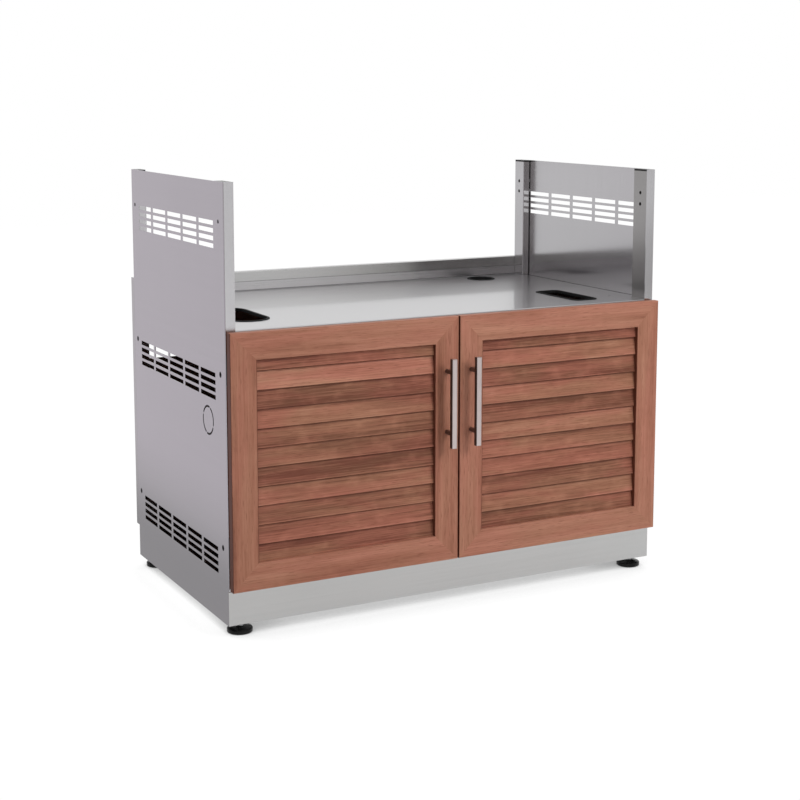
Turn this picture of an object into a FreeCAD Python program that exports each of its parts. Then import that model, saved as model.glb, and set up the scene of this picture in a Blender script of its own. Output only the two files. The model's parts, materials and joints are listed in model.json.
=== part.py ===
"""Outdoor-kitchen base cabinet for a drop-in grill: folded steel carcass and two louvred wooden doors."""
import FreeCAD, Part
import math
import os

V = FreeCAD.Vector

# Overall sizes, in millimetres. While modelling, the carcass front is the plane y = 0 and the floor z = 0.
WIDTH = 1016.0
SIDE_DEPTH = 550.0
TOP_Z = 900.0
BASE_Z = 22.0
SHELF_Z = 613.0
TOE_KICK_H = 71.5

# Sheet metal
SHEET = 1.2
SHELF_SHEET = 1.5
BRACKET_SHEET = 3.0
BEND_R = 0.8
FIT = 0.2

# Side panels and the channel posts inside them
FLANGE_W = 22.0
POST_DEPTH = 18.4
FRONT_POST_W = 50.8
REAR_POST_W = 40.0
POST_LEG_GAP = 2.0
POST_CAP_T = 4.0
POST_CAP_PLUG = 12.0
BOLT_HOLE_R = 4.0
BOLT_TOP_DROP = 77.0
BOLT_MID_DROP = 89.0
BOLT_LOW_RISE = 154.0
SPARE_HOLE_STEP = 25.0

# Vent slots, three groups in each side panel
VENT_ROWS = 4
VENT_COLUMNS = 5
VENT_SLOT_H = 9.0
VENT_ROW_PITCH = 15.0
VENT_COLUMN_GAP = 11.0
VENT_FRONT_MARGIN = 2.0
VENT_REAR_MARGIN = 5.0
VENT_TOP_DROP = 104.0
VENT_MID_DROP = 117.0
VENT_LOW_RISE = 122.0

# Gas-line knock-out in each side panel: a ring of cuts with tabs left between them
KNOCKOUT_R = 29.0
KNOCKOUT_CUT = 2.0
KNOCKOUT_TABS = 4
KNOCKOUT_TAB_W = 7.0
KNOCKOUT_TURN = 20.0
KNOCKOUT_Y = 97.0
KNOCKOUT_DROP = 192.0

# Grill shelf
SHELF_SIDE_GAP = 1.5
SHELF_LIP_H = 25.0
SHELF_LIP_RETURN = 15.0
UPSTAND_H = 22.0
SUPPORT_LEG = 22.0
STIFFENER_COUNT = 2
STIFFENER_PITCH = 340.0
STIFFENER_H = 24.0
STIFFENER_TOP_W = 40.0
STIFFENER_BRIM = 14.0
STIFFENER_END = 24.0

# Service holes through the shelf, each with a rubber edging: distance from the side face, then the front
LEFT_HOLE_IN = 103.5
LEFT_HOLE_Y = 197.0
LEFT_HOLE_W = 84.0
LEFT_HOLE_L = 196.0
LEFT_HOLE_R = 40.0
RIGHT_HOLE_IN = 139.5
RIGHT_HOLE_Y = 137.0
RIGHT_HOLE_W = 58.0
RIGHT_HOLE_L = 166.0
RIGHT_HOLE_R = 14.0
ROUND_HOLE_IN = 149.0
ROUND_HOLE_BACK = 54.0
ROUND_HOLE_R = 30.0
PILOT_HOLE_IN = 50.0
PILOT_HOLE_Y = 94.0
PILOT_HOLE_R = 3.5
EDGING_LAP = 4.0
EDGING_WALL = 1.6
EDGING_LIP_T = 1.6
EDGING_TAIL = 3.0

# Back panel, floor, toe kick and plinth
BACK_DEPTH = 18.0
BACK_Z0 = 92.0
BACK_RISE = 45.0
BACK_SCREW_R = 2.0
BACK_SCREW_HEAD_R = 4.5
BACK_SCREW_HEAD_H = 2.0
BACK_SCREW_LENGTH = 9.0
BACK_SCREW_ROWS = 3
BACK_SCREW_END = 60.0
BACK_PORT_W = 100.0
BACK_PORT_H = 76.0
BACK_PORT_R = 8.0
BACK_PORT_IN = 75.0
BACK_PORT_DROP = 101.0
FLOOR_UPTURN = 20.0
TOE_FLANGE = 18.0

# Doors
DOOR_T = 17.0
DOOR_GAP = 6.0
DOOR_INSET = 1.0
DOOR_FLOOR_GAP = 2.5
DOOR_TOP_REVEAL = 1.5
CENTRE_GAP = 3.0
FRAME_W = 55.0
FRAME_EDGE_R = 1.0
LOUVRE_PITCH = 38.6
LOUVRE_START = 4.7
LOUVRE_LAP = 5.9
LOUVRE_T = 5.0
LOUVRE_TILT = 9.0
LOUVRE_RECESS = 6.5

# Handles
HANDLE_L = 187.0
HANDLE_W = 12.5
HANDLE_D = 10.0
HANDLE_STANDOFF = 23.0
HANDLE_CENTRES = 128.0
HANDLE_X = 29.0
HANDLE_DROP = 177.0
HANDLE_EDGE_R = 1.6
HANDLE_POST_R = 5.0
HANDLE_SCREW_R = 2.0
HANDLE_SCREW_HEAD_R = 4.0
HANDLE_SCREW_HEAD_H = 2.4
HANDLE_SCREW_BITE = 12.0

# Hinges, two on each door, in the gap behind the door
HINGE_INSET = 3.0
HINGE_L = 60.0
HINGE_END = 75.0
KNUCKLES = 3
KNUCKLE_GAP = 0.2
HINGE_AIR = 0.4
RUNNING_CLEARANCE = 0.05
PIN_HEAD_H = 0.8
LEAF_T = 1.4
LEAF_CLEARANCE = 0.3
FRAME_LEAF_W = 13.0
DOOR_LEAF_W = 22.0
HINGE_SCREWS = 2
HINGE_SCREW_R = 1.9
HINGE_SCREW_HOLE_R = 2.0
HINGE_SCREW_HEAD_R = 3.4
HINGE_SCREW_BITE = 11.0
HINGE_SCREW_TAIL = 4.0

# Door catch, strikes and bumpers
CATCH_W = 46.0
CATCH_H = 14.0
CATCH_D = 23.5
CATCH_EDGE_R = 2.0
CATCH_AIR = 0.3
POLE_W = 14.0
POLE_H = 8.0
POLE_OUT = 1.0
POLE_X = 12.5
STRIKE_W = 18.0
STRIKE_H = 12.0
STRIKE_T = 1.2
BUMPER_R = 5.0
BUMPER_TAPER = 1.5
BUMPER_AIR = 0.3
BUMPER_DROP = 15.0
BUMPER_IN = 66.0

# Levelling feet
FOOT_R = 26.0
FOOT_RIM_H = 9.0
FOOT_TOP_H = 13.0
FOOT_NECK_R = 8.0
FOOT_EDGE = 1.5
FOOT_IN = 33.0
FOOT_Y = 27.0
STEM_R = 5.0
STEM_TIP = 1.0
STEM_TOP_Z = 78.0
STEM_HEX_W = 14.0
STEM_HEX_H = 5.0
STEM_HOLE_CLEARANCE = 0.6
NUT_W = 17.0
NUT_H = 8.0
BRACKET_Z = 34.0
BRACKET_W = 40.0
BRACKET_L = 54.0
BRACKET_RISE = 26.0

# Places worked out from the sizes above, for the right-hand half
SIDE_X = WIDTH / 2
PANEL_IN = SIDE_X - SHEET
POST_X = PANEL_IN - POST_DEPTH
FRONT_POST_END = SHEET + FRONT_POST_W
REAR_POST_START = SIDE_DEPTH - REAR_POST_W
FRONT_BOLT_Y = SHEET + FRONT_POST_W / 2
REAR_BOLT_Y = SIDE_DEPTH - REAR_POST_W / 2
BOLT_ZS = (TOP_Z - BOLT_TOP_DROP, SHELF_Z - BOLT_MID_DROP, BASE_Z + BOLT_LOW_RISE)
TOE_TOP = BASE_Z + TOE_KICK_H
SHELF_UNDER = SHELF_Z - SHELF_SHEET
SHELF_LIP_Z = SHELF_Z - SHELF_LIP_H
BACK_TOP = SHELF_Z + BACK_RISE
DOOR_Z0 = TOE_TOP + DOOR_FLOOR_GAP
DOOR_Z1 = SHELF_Z - DOOR_TOP_REVEAL
DOOR_X0 = CENTRE_GAP / 2
DOOR_X1 = SIDE_X - DOOR_INSET
DOOR_BACK = -DOOR_GAP
DOOR_FRONT = DOOR_BACK - DOOR_T
HANDLE_BACK = DOOR_FRONT - HANDLE_STANDOFF
HANDLE_FRONT = HANDLE_BACK - HANDLE_D
HANDLE_ZS = tuple(DOOR_Z1 - HANDLE_DROP + side * HANDLE_CENTRES / 2 for side in (-1, 1))
HINGE_X = SIDE_X - HINGE_INSET
HINGE_Y = -DOOR_GAP / 2
HINGE_ZS = (DOOR_Z0 + HINGE_END, DOOR_Z1 - HINGE_END)
KNUCKLE_R = DOOR_GAP / 2 - HINGE_AIR
HINGE_PIN_R = KNUCKLE_R / 2
KNUCKLE_BORE_R = HINGE_PIN_R + RUNNING_CLEARANCE
PIN_HEAD_R = KNUCKLE_R - HINGE_AIR
LEAF_EDGE = HINGE_X - KNUCKLE_R - LEAF_CLEARANCE
HINGE_SCREW_HEAD_H = DOOR_GAP / 2 - LEAF_T - HINGE_AIR
LOUVRE_H = LOUVRE_PITCH + LOUVRE_LAP
FOOT_PLACES = {
    "front": FOOT_Y,
    "rear": SIDE_DEPTH - FOOT_Y,
}
FOOT_X = SIDE_X - FOOT_IN
BACK_FACE = SIDE_DEPTH + BACK_DEPTH
MIDDLE_Y = (HANDLE_FRONT + BACK_FACE) / 2

# Modelling helpers: how far a cutter runs past a face, the flat kept between two corner arcs, a parallel test
OVERSHOOT = 1.0
CORNER_FLAT = 0.2
PARALLEL = 0.001
ALONG_X = V(1, 0, 0)
ALONG_Y = V(0, 1, 0)
ALONG_Z = V(0, 0, 1)


# General shapes

def box(x0, x1, y0, y1, z0, z1):
    """Block between two corners."""
    return Part.makeBox(x1 - x0, y1 - y0, z1 - z0, V(x0, y0, z0))


def rod(start, direction, radius, length):
    """Round bar from start along direction."""
    return Part.makeCylinder(radius, length, start, direction)


def mirrored(shape):
    """The same piece on the other side of the middle plane x = 0."""
    return shape.mirror(V(0, 0, 0), ALONG_X)


def on_xy(point):
    """Section point laid in plan."""
    return V(point.x, point.y, 0)


def on_yz(point):
    """Section point laid in the side view."""
    return V(0, point.x, point.y)


def on_xz(point):
    """Section point laid in the front view."""
    return V(point.x, 0, point.y)


def outline(points):
    """Face inside a closed run of straight lines."""
    return Part.Face(Part.makePolygon(points + points[:1]))


def folded(path, thickness, to_space):
    """Section face of a sheet folded along path, the mid line of its thickness, with round bends."""
    half = thickness / 2
    mid_radius = BEND_R + half
    points = [V(u, v, 0) for u, v in path]
    runs = [(end - start).normalize() for start, end in zip(points, points[1:])]
    normals = [V(-run.y, run.x, 0) for run in runs]
    turns = [math.atan2(a.x * b.y - a.y * b.x, a.dot(b)) for a, b in zip(runs, runs[1:])]
    trims = [0.0] + [mid_radius * math.tan(abs(turn) / 2) for turn in turns] + [0.0]

    def side(sign):
        """Lines and bends along one face of the sheet."""
        starts = [points[i] + run * trims[i] + normals[i] * (sign * half) for i, run in enumerate(runs)]
        ends = [points[i + 1] - run * trims[i + 1] + normals[i] * (sign * half) for i, run in enumerate(runs)]
        edges = [Part.LineSegment(to_space(a), to_space(b)).toShape() for a, b in zip(starts, ends)]
        for i, turn in enumerate(turns):
            bend = math.copysign(1, turn)
            centre = points[i + 1] - runs[i] * trims[i + 1] + normals[i] * (bend * mid_radius)
            outward = (normals[i] + normals[i + 1]).normalize() * -bend
            middle = centre + outward * (mid_radius - sign * bend * half)
            arc = Part.Arc(to_space(ends[i]), to_space(middle), to_space(starts[i + 1]))
            edges.append(arc.toShape())
        return edges, starts[0], ends[-1]

    left, left_start, left_end = side(1)
    right, right_start, right_end = side(-1)
    caps = [
        Part.LineSegment(to_space(left_start), to_space(right_start)).toShape(),
        Part.LineSegment(to_space(left_end), to_space(right_end)).toShape(),
    ]
    return Part.Face(Part.Wire(Part.__sortEdges__(left + right + caps)))


def folded_along_x(path, thickness, x0, x1):
    """Folded sheet whose section, in the side view, runs from x0 to x1."""
    shape = folded(path, thickness, on_yz).extrude(ALONG_X * (x1 - x0))
    return shape.translated(ALONG_X * x0)


def folded_along_y(path, thickness, y0, y1):
    """Folded sheet whose section, in the front view, runs from y0 to y1."""
    shape = folded(path, thickness, on_xz).extrude(ALONG_Y * (y1 - y0))
    return shape.translated(ALONG_Y * y0)


def folded_along_z(path, thickness, z0, z1):
    """Folded sheet whose section, in plan, runs from z0 to z1."""
    shape = folded(path, thickness, on_xy).extrude(ALONG_Z * (z1 - z0))
    return shape.translated(ALONG_Z * z0)


def edges_on(shape, test):
    """Edges of a shape whose end points all pass a test."""
    return [edge for edge in shape.Edges if all(test(vertex.Point) for vertex in edge.Vertexes)]


def edges_along(shape, direction):
    """Straight edges of a shape that run along a direction."""
    return [
        edge for edge in shape.Edges
        if edge.tangentAt(edge.FirstParameter).cross(direction).Length < PARALLEL
    ]


def rounded_slab(centre_x, centre_y, width, length, radius, z0, z1):
    """Upright prism with a rounded-rectangle plan, whose corner arcs leave a narrow flat on each side."""
    slab = box(-width / 2, width / 2, -length / 2, length / 2, 0, z1 - z0)
    largest = (min(width, length) - CORNER_FLAT) / 2
    slab = slab.makeFillet(min(radius, largest), edges_along(slab, ALONG_Z))
    return slab.translated(V(centre_x, centre_y, z0))


def hexagon(centre, across_flats, height):
    """Upright six-sided prism."""
    corner_r = across_flats / math.sqrt(3)
    corners = [
        centre + V(corner_r * math.cos(k * math.pi / 3), corner_r * math.sin(k * math.pi / 3), 0)
        for k in range(6)
    ]
    return outline(corners).extrude(ALONG_Z * height)


def headed_screw(head_face, direction, head_r, head_h, shank_r, shank_l):
    """Screw with a low tapered head that bears on head_face, its shank pointing along direction."""
    head = Part.makeCone(head_r - head_h / 2, head_r, head_h, head_face - direction * head_h, direction)
    return head.fuse(rod(head_face, direction, shank_r, shank_l)).removeSplitter()


# Side panels and posts

def vent_group(z_mid):
    """Cutters of one group of vent slots, filling the width between the two posts."""
    clear = REAR_POST_START - FRONT_POST_END - VENT_FRONT_MARGIN - VENT_REAR_MARGIN
    slot_l = (clear - (VENT_COLUMNS - 1) * VENT_COLUMN_GAP) / VENT_COLUMNS
    cutters = []
    for row in range(VENT_ROWS):
        z = z_mid + (row - (VENT_ROWS - 1) / 2) * VENT_ROW_PITCH
        for column in range(VENT_COLUMNS):
            y = FRONT_POST_END + VENT_FRONT_MARGIN + column * (slot_l + VENT_COLUMN_GAP)
            cutters.append(box(PANEL_IN - OVERSHOOT, SIDE_X + OVERSHOOT, y, y + slot_l,
                               z - VENT_SLOT_H / 2, z + VENT_SLOT_H / 2))
    return cutters


def knockout_ring():
    """Cutter of the knock-out: a thin ring, broken by the tabs that hold its disc."""
    centre = V(PANEL_IN - OVERSHOOT, KNOCKOUT_Y, SHELF_Z - KNOCKOUT_DROP)
    depth = SHEET + 2 * OVERSHOOT
    ring = rod(centre, ALONG_X, KNOCKOUT_R, depth).cut(
        rod(centre, ALONG_X, KNOCKOUT_R - KNOCKOUT_CUT, depth))
    for k in range(KNOCKOUT_TABS):
        tab = box(centre.x, centre.x + depth, centre.y - KNOCKOUT_TAB_W / 2, centre.y + KNOCKOUT_TAB_W / 2,
                  centre.z, centre.z + KNOCKOUT_R + OVERSHOOT)
        ring = ring.cut(tab.rotate(centre, ALONG_X, KNOCKOUT_TURN + k * 360 / KNOCKOUT_TABS))
    return ring


def hinge_screw_zs():
    """Heights of the screws in every hinge leaf."""
    step = HINGE_L / HINGE_SCREWS
    return [z + (k - (HINGE_SCREWS - 1) / 2) * step for z in HINGE_ZS for k in range(HINGE_SCREWS)]


def frame_leaf_screw_x():
    """Distance from the middle plane of the screws in the fixed hinge leaves."""
    return LEAF_EDGE - FRAME_LEAF_W / 2


def door_leaf_screw_x():
    """Distance from the middle plane of the screws in the moving hinge leaves."""
    return LEAF_EDGE - DOOR_LEAF_W / 2


def flange_screw_holes():
    """Cutters through the front flange and the front leg of the post for the fixed hinge leaves."""
    return [
        rod(V(frame_leaf_screw_x(), -OVERSHOOT, z), ALONG_Y, HINGE_SCREW_HOLE_R, 2 * SHEET + 2 * OVERSHOOT)
        for z in hinge_screw_zs()
    ]


def side_panel():
    """Right side panel: one sheet with an inward front flange, vents, bolt holes and knock-out."""
    path = [
        (SIDE_X - FLANGE_W, SHEET / 2),
        (SIDE_X - SHEET / 2, SHEET / 2),
        (SIDE_X - SHEET / 2, SIDE_DEPTH),
    ]
    panel = folded_along_z(path, SHEET, BASE_Z, TOP_Z)
    cutters = [box(SIDE_X - FLANGE_W - OVERSHOOT, SIDE_X + OVERSHOOT, -OVERSHOOT, SHEET,
                   BASE_Z - OVERSHOOT, TOE_TOP)]
    for z_mid in (TOP_Z - VENT_TOP_DROP, SHELF_Z - VENT_MID_DROP, BASE_Z + VENT_LOW_RISE):
        cutters += vent_group(z_mid)
    for z in BOLT_ZS:
        for y in (FRONT_BOLT_Y, REAR_BOLT_Y):
            cutters.append(rod(V(PANEL_IN - OVERSHOOT, y, z), ALONG_X, BOLT_HOLE_R, SHEET + 2 * OVERSHOOT))
    return panel.cut(cutters + [knockout_ring()] + flange_screw_holes())


def post(y0, y1, bolt_y, leg_holes):
    """Right-hand channel post with its open side against the panel and bolt holes in its inner wall."""
    path = [
        (PANEL_IN - POST_LEG_GAP, y0 + SHEET / 2),
        (POST_X + SHEET / 2, y0 + SHEET / 2),
        (POST_X + SHEET / 2, y1 - SHEET / 2),
        (PANEL_IN, y1 - SHEET / 2),
    ]
    channel = folded_along_z(path, SHEET, BASE_Z, TOP_Z - POST_CAP_T)
    hole_zs = BOLT_ZS + (BOLT_ZS[0] + SPARE_HOLE_STEP,)
    bolt_holes = [
        rod(V(POST_X - OVERSHOOT, bolt_y, z), ALONG_X, BOLT_HOLE_R, SHEET + 2 * OVERSHOOT)
        for z in hole_zs
    ]
    return channel.cut(bolt_holes + leg_holes)


def post_cap(y0, y1):
    """Right-hand cap of a post: a plate on its top end, flush with the panel, and a plug between its legs."""
    mid_x = (POST_X + PANEL_IN) / 2
    mid_y = (y0 + y1) / 2
    seat_z = TOP_Z - POST_CAP_T
    plate = rounded_slab(mid_x, mid_y, POST_DEPTH, y1 - y0, BEND_R + SHEET, seat_z, TOP_Z)
    wall = SHEET + FIT
    plug = rounded_slab(mid_x, mid_y, POST_DEPTH - 2 * wall, y1 - y0 - 2 * wall, BEND_R,
                        seat_z - POST_CAP_PLUG, seat_z)
    return plate.fuse(plug).removeSplitter()


def post_caps():
    """Right-hand caps, front and rear."""
    return [post_cap(SHEET, FRONT_POST_END), post_cap(REAR_POST_START, SIDE_DEPTH)]


def back_screw_places():
    """Points on the back panel's rear face, right half, where it is screwed to the post."""
    step = (BACK_TOP - BACK_Z0 - 2 * BACK_SCREW_END) / (BACK_SCREW_ROWS - 1)
    x = (POST_X + PANEL_IN) / 2
    return [V(x, SIDE_DEPTH + SHEET, BACK_Z0 + BACK_SCREW_END + k * step) for k in range(BACK_SCREW_ROWS)]


def back_screw_holes():
    """Cutters for those screws, through the panel and the rear leg of the post."""
    return [
        rod(place + ALONG_Y * OVERSHOOT, -ALONG_Y, BACK_SCREW_R + RUNNING_CLEARANCE,
            2 * SHEET + 2 * OVERSHOOT)
        for place in back_screw_places()
    ]


def front_post():
    """Right front post, behind the side panel's flange."""
    return post(SHEET, FRONT_POST_END, FRONT_BOLT_Y, flange_screw_holes())


def rear_post():
    """Right rear post, flush with the side panel's rear edge."""
    return post(REAR_POST_START, SIDE_DEPTH, REAR_BOLT_Y, back_screw_holes())


# Grill shelf and what goes through it

def corner_notches(z0, z1):
    """Cutters that clear the four posts and the two front flanges out of a deck's corners."""
    notches = [
        box(POST_X - FIT, SIDE_X, -OVERSHOOT, FRONT_POST_END + FIT, z0, z1),
        box(SIDE_X - FLANGE_W - FIT, SIDE_X, -OVERSHOOT, SHEET + FIT, z0, z1),
        box(POST_X - FIT, SIDE_X, REAR_POST_START - FIT, SIDE_DEPTH + OVERSHOOT, z0, z1),
    ]
    return notches + [mirrored(notch) for notch in notches]


def left_service_hole(grow, z0, z1):
    """Prism of the left service hole, grown all round."""
    return rounded_slab(LEFT_HOLE_IN - SIDE_X, LEFT_HOLE_Y, LEFT_HOLE_W + 2 * grow, LEFT_HOLE_L + 2 * grow,
                        LEFT_HOLE_R + grow, z0, z1)


def right_service_hole(grow, z0, z1):
    """Prism of the right service hole, grown all round."""
    return rounded_slab(SIDE_X - RIGHT_HOLE_IN, RIGHT_HOLE_Y, RIGHT_HOLE_W + 2 * grow,
                        RIGHT_HOLE_L + 2 * grow, RIGHT_HOLE_R + grow, z0, z1)


def round_service_hole(grow, z0, z1):
    """Prism of the round cable hole near the back, grown all round."""
    place = V(SIDE_X - ROUND_HOLE_IN, SIDE_DEPTH - ROUND_HOLE_BACK, z0)
    return rod(place, ALONG_Z, ROUND_HOLE_R + grow, z1 - z0)


def edging(hole):
    """Rubber edging of a shelf hole: a lip on the deck, a wall in the hole and a tail under it."""
    lip = hole(EDGING_LAP, SHELF_Z, SHELF_Z + EDGING_LIP_T)
    wall = hole(-FIT, SHELF_UNDER - EDGING_TAIL, SHELF_Z)
    bore = hole(-FIT - EDGING_WALL, SHELF_UNDER - EDGING_TAIL - OVERSHOOT, SHELF_Z + EDGING_LIP_T + OVERSHOOT)
    return lip.fuse(wall).removeSplitter().cut(bore)


def grill_shelf():
    """Deck that carries the grill: folded front lip, rear upstand, notched corners and service holes."""
    t = SHELF_SHEET
    path = [
        (SHELF_LIP_RETURN, SHELF_LIP_Z + t / 2),
        (t / 2, SHELF_LIP_Z + t / 2),
        (t / 2, SHELF_Z - t / 2),
        (SIDE_DEPTH - t / 2, SHELF_Z - t / 2),
        (SIDE_DEPTH - t / 2, SHELF_Z + UPSTAND_H),
    ]
    half_width = PANEL_IN - SHELF_SIDE_GAP
    deck = folded_along_x(path, t, -half_width, half_width)
    z0 = SHELF_LIP_Z - OVERSHOOT
    z1 = SHELF_Z + UPSTAND_H + OVERSHOOT
    holes = [hole(0, SHELF_UNDER - OVERSHOOT, SHELF_Z + OVERSHOOT)
             for hole in (left_service_hole, right_service_hole, round_service_hole)]
    pilot = rod(V(SIDE_X - PILOT_HOLE_IN, PILOT_HOLE_Y, SHELF_UNDER - OVERSHOOT), ALONG_Z, PILOT_HOLE_R,
                t + 2 * OVERSHOOT)
    return deck.cut(corner_notches(z0, z1) + holes + [pilot])


def shelf_support():
    """Right support angle: fixed to the side panel between the posts, under the deck's edge."""
    t = SHEET
    path = [
        (PANEL_IN - t / 2, SHELF_UNDER - SUPPORT_LEG),
        (PANEL_IN - t / 2, SHELF_UNDER - t / 2),
        (PANEL_IN - SUPPORT_LEG, SHELF_UNDER - t / 2),
    ]
    return folded_along_y(path, t, FRONT_POST_END + FIT, REAR_POST_START - FIT)


def shelf_stiffeners():
    """Top-hat stiffeners under the deck, running from front to back."""
    t = SHEET
    brim_z = SHELF_UNDER - t / 2
    crown_z = SHELF_UNDER - STIFFENER_H + t / 2
    half = STIFFENER_TOP_W / 2
    stiffeners = []
    for k in range(STIFFENER_COUNT):
        x = (k - (STIFFENER_COUNT - 1) / 2) * STIFFENER_PITCH
        path = [
            (x - half - STIFFENER_BRIM, brim_z),
            (x - half, brim_z),
            (x - half, crown_z),
            (x + half, crown_z),
            (x + half, brim_z),
            (x + half + STIFFENER_BRIM, brim_z),
        ]
        stiffeners.append(folded_along_y(path, t, STIFFENER_END, SIDE_DEPTH - STIFFENER_END))
    return stiffeners


# Back, floor, toe kick and plinth

def back_port():
    """Cutter for the service opening in the back panel, near its upper left corner seen from the front."""
    mid_x = BACK_PORT_IN - SIDE_X
    mid_z = SHELF_Z - BACK_PORT_DROP
    port = box(mid_x - BACK_PORT_W / 2, mid_x + BACK_PORT_W / 2,
               SIDE_DEPTH - OVERSHOOT, SIDE_DEPTH + SHEET + OVERSHOOT,
               mid_z - BACK_PORT_H / 2, mid_z + BACK_PORT_H / 2)
    return port.makeFillet(BACK_PORT_R, edges_along(port, ALONG_Y))


def back_panel():
    """Back sheet on the rear posts, with a flange turned rearward all round and a service opening."""
    outer = box(-SIDE_X, SIDE_X, SIDE_DEPTH, BACK_FACE, BACK_Z0, BACK_TOP)
    inner = box(-PANEL_IN, PANEL_IN, SIDE_DEPTH + SHEET, BACK_FACE + OVERSHOOT,
                BACK_Z0 + SHEET, BACK_TOP - SHEET)
    outer = outer.makeFillet(BEND_R + SHEET, edges_on(outer, lambda p: p.y < SIDE_DEPTH + FIT))
    inner = inner.makeFillet(BEND_R, edges_on(inner, lambda p: p.y < SIDE_DEPTH + SHEET + FIT))
    holes = back_screw_holes()
    return outer.cut([inner, back_port()] + holes + [mirrored(hole) for hole in holes])


def back_panel_screws():
    """Screws of the right half of the back panel."""
    return [
        headed_screw(place, -ALONG_Y, BACK_SCREW_HEAD_R, BACK_SCREW_HEAD_H, BACK_SCREW_R, BACK_SCREW_LENGTH)
        for place in back_screw_places()
    ]


def floor_panel():
    """Cabinet floor, lying on the toe kick and the plinth, turned up against the back panel."""
    mid_z = TOE_TOP + SHEET / 2
    path = [
        (SHEET, mid_z),
        (SIDE_DEPTH - SHEET / 2, mid_z),
        (SIDE_DEPTH - SHEET / 2, mid_z + FLOOR_UPTURN),
    ]
    deck = folded_along_x(path, SHEET, -PANEL_IN, PANEL_IN)
    return deck.cut(corner_notches(TOE_TOP - OVERSHOOT, mid_z + FLOOR_UPTURN + OVERSHOOT))


def base_channel(face_y, flange_y, half_width):
    """Channel of the cabinet's base: a face with a top and a bottom flange turned to flange_y."""
    path = [
        (flange_y, TOE_TOP - SHEET / 2),
        (face_y, TOE_TOP - SHEET / 2),
        (face_y, BASE_Z + SHEET / 2),
        (flange_y, BASE_Z + SHEET / 2),
    ]
    return folded_along_x(path, SHEET, -half_width, half_width)


def toe_kick():
    """Front of the base, as wide as the cabinet, with its flanges cut away at the posts."""
    channel = base_channel(SHEET / 2, TOE_FLANGE, SIDE_X)
    clear = box(POST_X, SIDE_X + OVERSHOOT, SHEET, TOE_FLANGE + OVERSHOOT,
                BASE_Z - OVERSHOOT, TOE_TOP + OVERSHOOT)
    return channel.cut([clear, mirrored(clear)])


def rear_plinth():
    """Rear of the base, between the rear posts."""
    return base_channel(SIDE_DEPTH - SHEET / 2, SIDE_DEPTH - TOE_FLANGE, POST_X)


# Levelling feet

def foot_pad(y):
    """Right-hand foot pad, turned from a profile with an eased rim and a sloping top."""
    profile = [
        V(0, 0, 0),
        V(FOOT_R - FOOT_EDGE, 0, 0),
        V(FOOT_R, 0, FOOT_EDGE),
        V(FOOT_R, 0, FOOT_RIM_H - FOOT_EDGE),
        V(FOOT_R - FOOT_EDGE, 0, FOOT_RIM_H),
        V(FOOT_NECK_R, 0, FOOT_TOP_H),
        V(0, 0, FOOT_TOP_H),
    ]
    pad = outline(profile).revolve(V(0, 0, 0), ALONG_Z, 360)
    return pad.translated(V(FOOT_X, y, 0))


def foot_stem(y):
    """Right-hand threaded stem with the hexagon that a spanner turns."""
    foot = V(FOOT_X, y, FOOT_TOP_H)
    stem = rod(foot, ALONG_Z, STEM_R, STEM_TOP_Z - FOOT_TOP_H)
    stem = stem.makeChamfer(STEM_TIP, edges_on(stem, lambda p: p.z > STEM_TOP_Z - FIT))
    return stem.fuse(hexagon(foot, STEM_HEX_W, STEM_HEX_H)).removeSplitter()


def foot_nut(y):
    """Right-hand nut welded on the bracket, in which the stem turns."""
    seat = V(FOOT_X, y, BRACKET_Z + BRACKET_SHEET)
    return hexagon(seat, NUT_W, NUT_H).cut(rod(seat, ALONG_Z, STEM_R + RUNNING_CLEARANCE, NUT_H))


def foot_bracket(y0, y1, foot_y):
    """Right-hand bracket: a plate with one side turned up against the post."""
    t = BRACKET_SHEET
    path = [
        (POST_X - BRACKET_W, BRACKET_Z + t / 2),
        (POST_X - t / 2, BRACKET_Z + t / 2),
        (POST_X - t / 2, BRACKET_Z + BRACKET_RISE),
    ]
    hole = rod(V(FOOT_X, foot_y, BRACKET_Z - OVERSHOOT), ALONG_Z, STEM_R + STEM_HOLE_CLEARANCE,
               t + 2 * OVERSHOOT)
    return folded_along_y(path, t, y0, y1).cut(hole)


def foot_brackets():
    """Right-hand brackets, front against the toe kick and rear against the plinth."""
    front = foot_bracket(SHEET, SHEET + BRACKET_L, FOOT_PLACES["front"])
    rear_end = SIDE_DEPTH - SHEET
    return [front, foot_bracket(rear_end - BRACKET_L, rear_end, FOOT_PLACES["rear"])]


# Doors, all for the right-hand door

def frame_member(start, end, inward):
    """Door frame member between two outer corners of the door, mitred at both ends, outer edges eased."""
    along = (end - start).normalize()
    corners = [start, end, end + (inward - along) * FRAME_W, start + (inward + along) * FRAME_W]
    member = outline([corner + ALONG_Y * DOOR_FRONT for corner in corners]).extrude(ALONG_Y * DOOR_T)
    outer = [edge for edge in edges_on(member, lambda p: abs((p - start).dot(inward)) < FIT)
             if edge.Length > DOOR_T + FIT]
    return member.makeFillet(FRAME_EDGE_R, outer)


def door_corner(x, z):
    """Corner of the door in the front view."""
    return V(x, 0, z)


def outer_stile():
    """Stile on the hinge side, with the blind holes of the hinge screws."""
    stile = frame_member(door_corner(DOOR_X1, DOOR_Z0), door_corner(DOOR_X1, DOOR_Z1), -ALONG_X)
    return stile.cut([
        rod(V(door_leaf_screw_x(), DOOR_BACK + OVERSHOOT, z), -ALONG_Y, HINGE_SCREW_HOLE_R,
            HINGE_SCREW_BITE + 2 * OVERSHOOT)
        for z in hinge_screw_zs()
    ])


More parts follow.
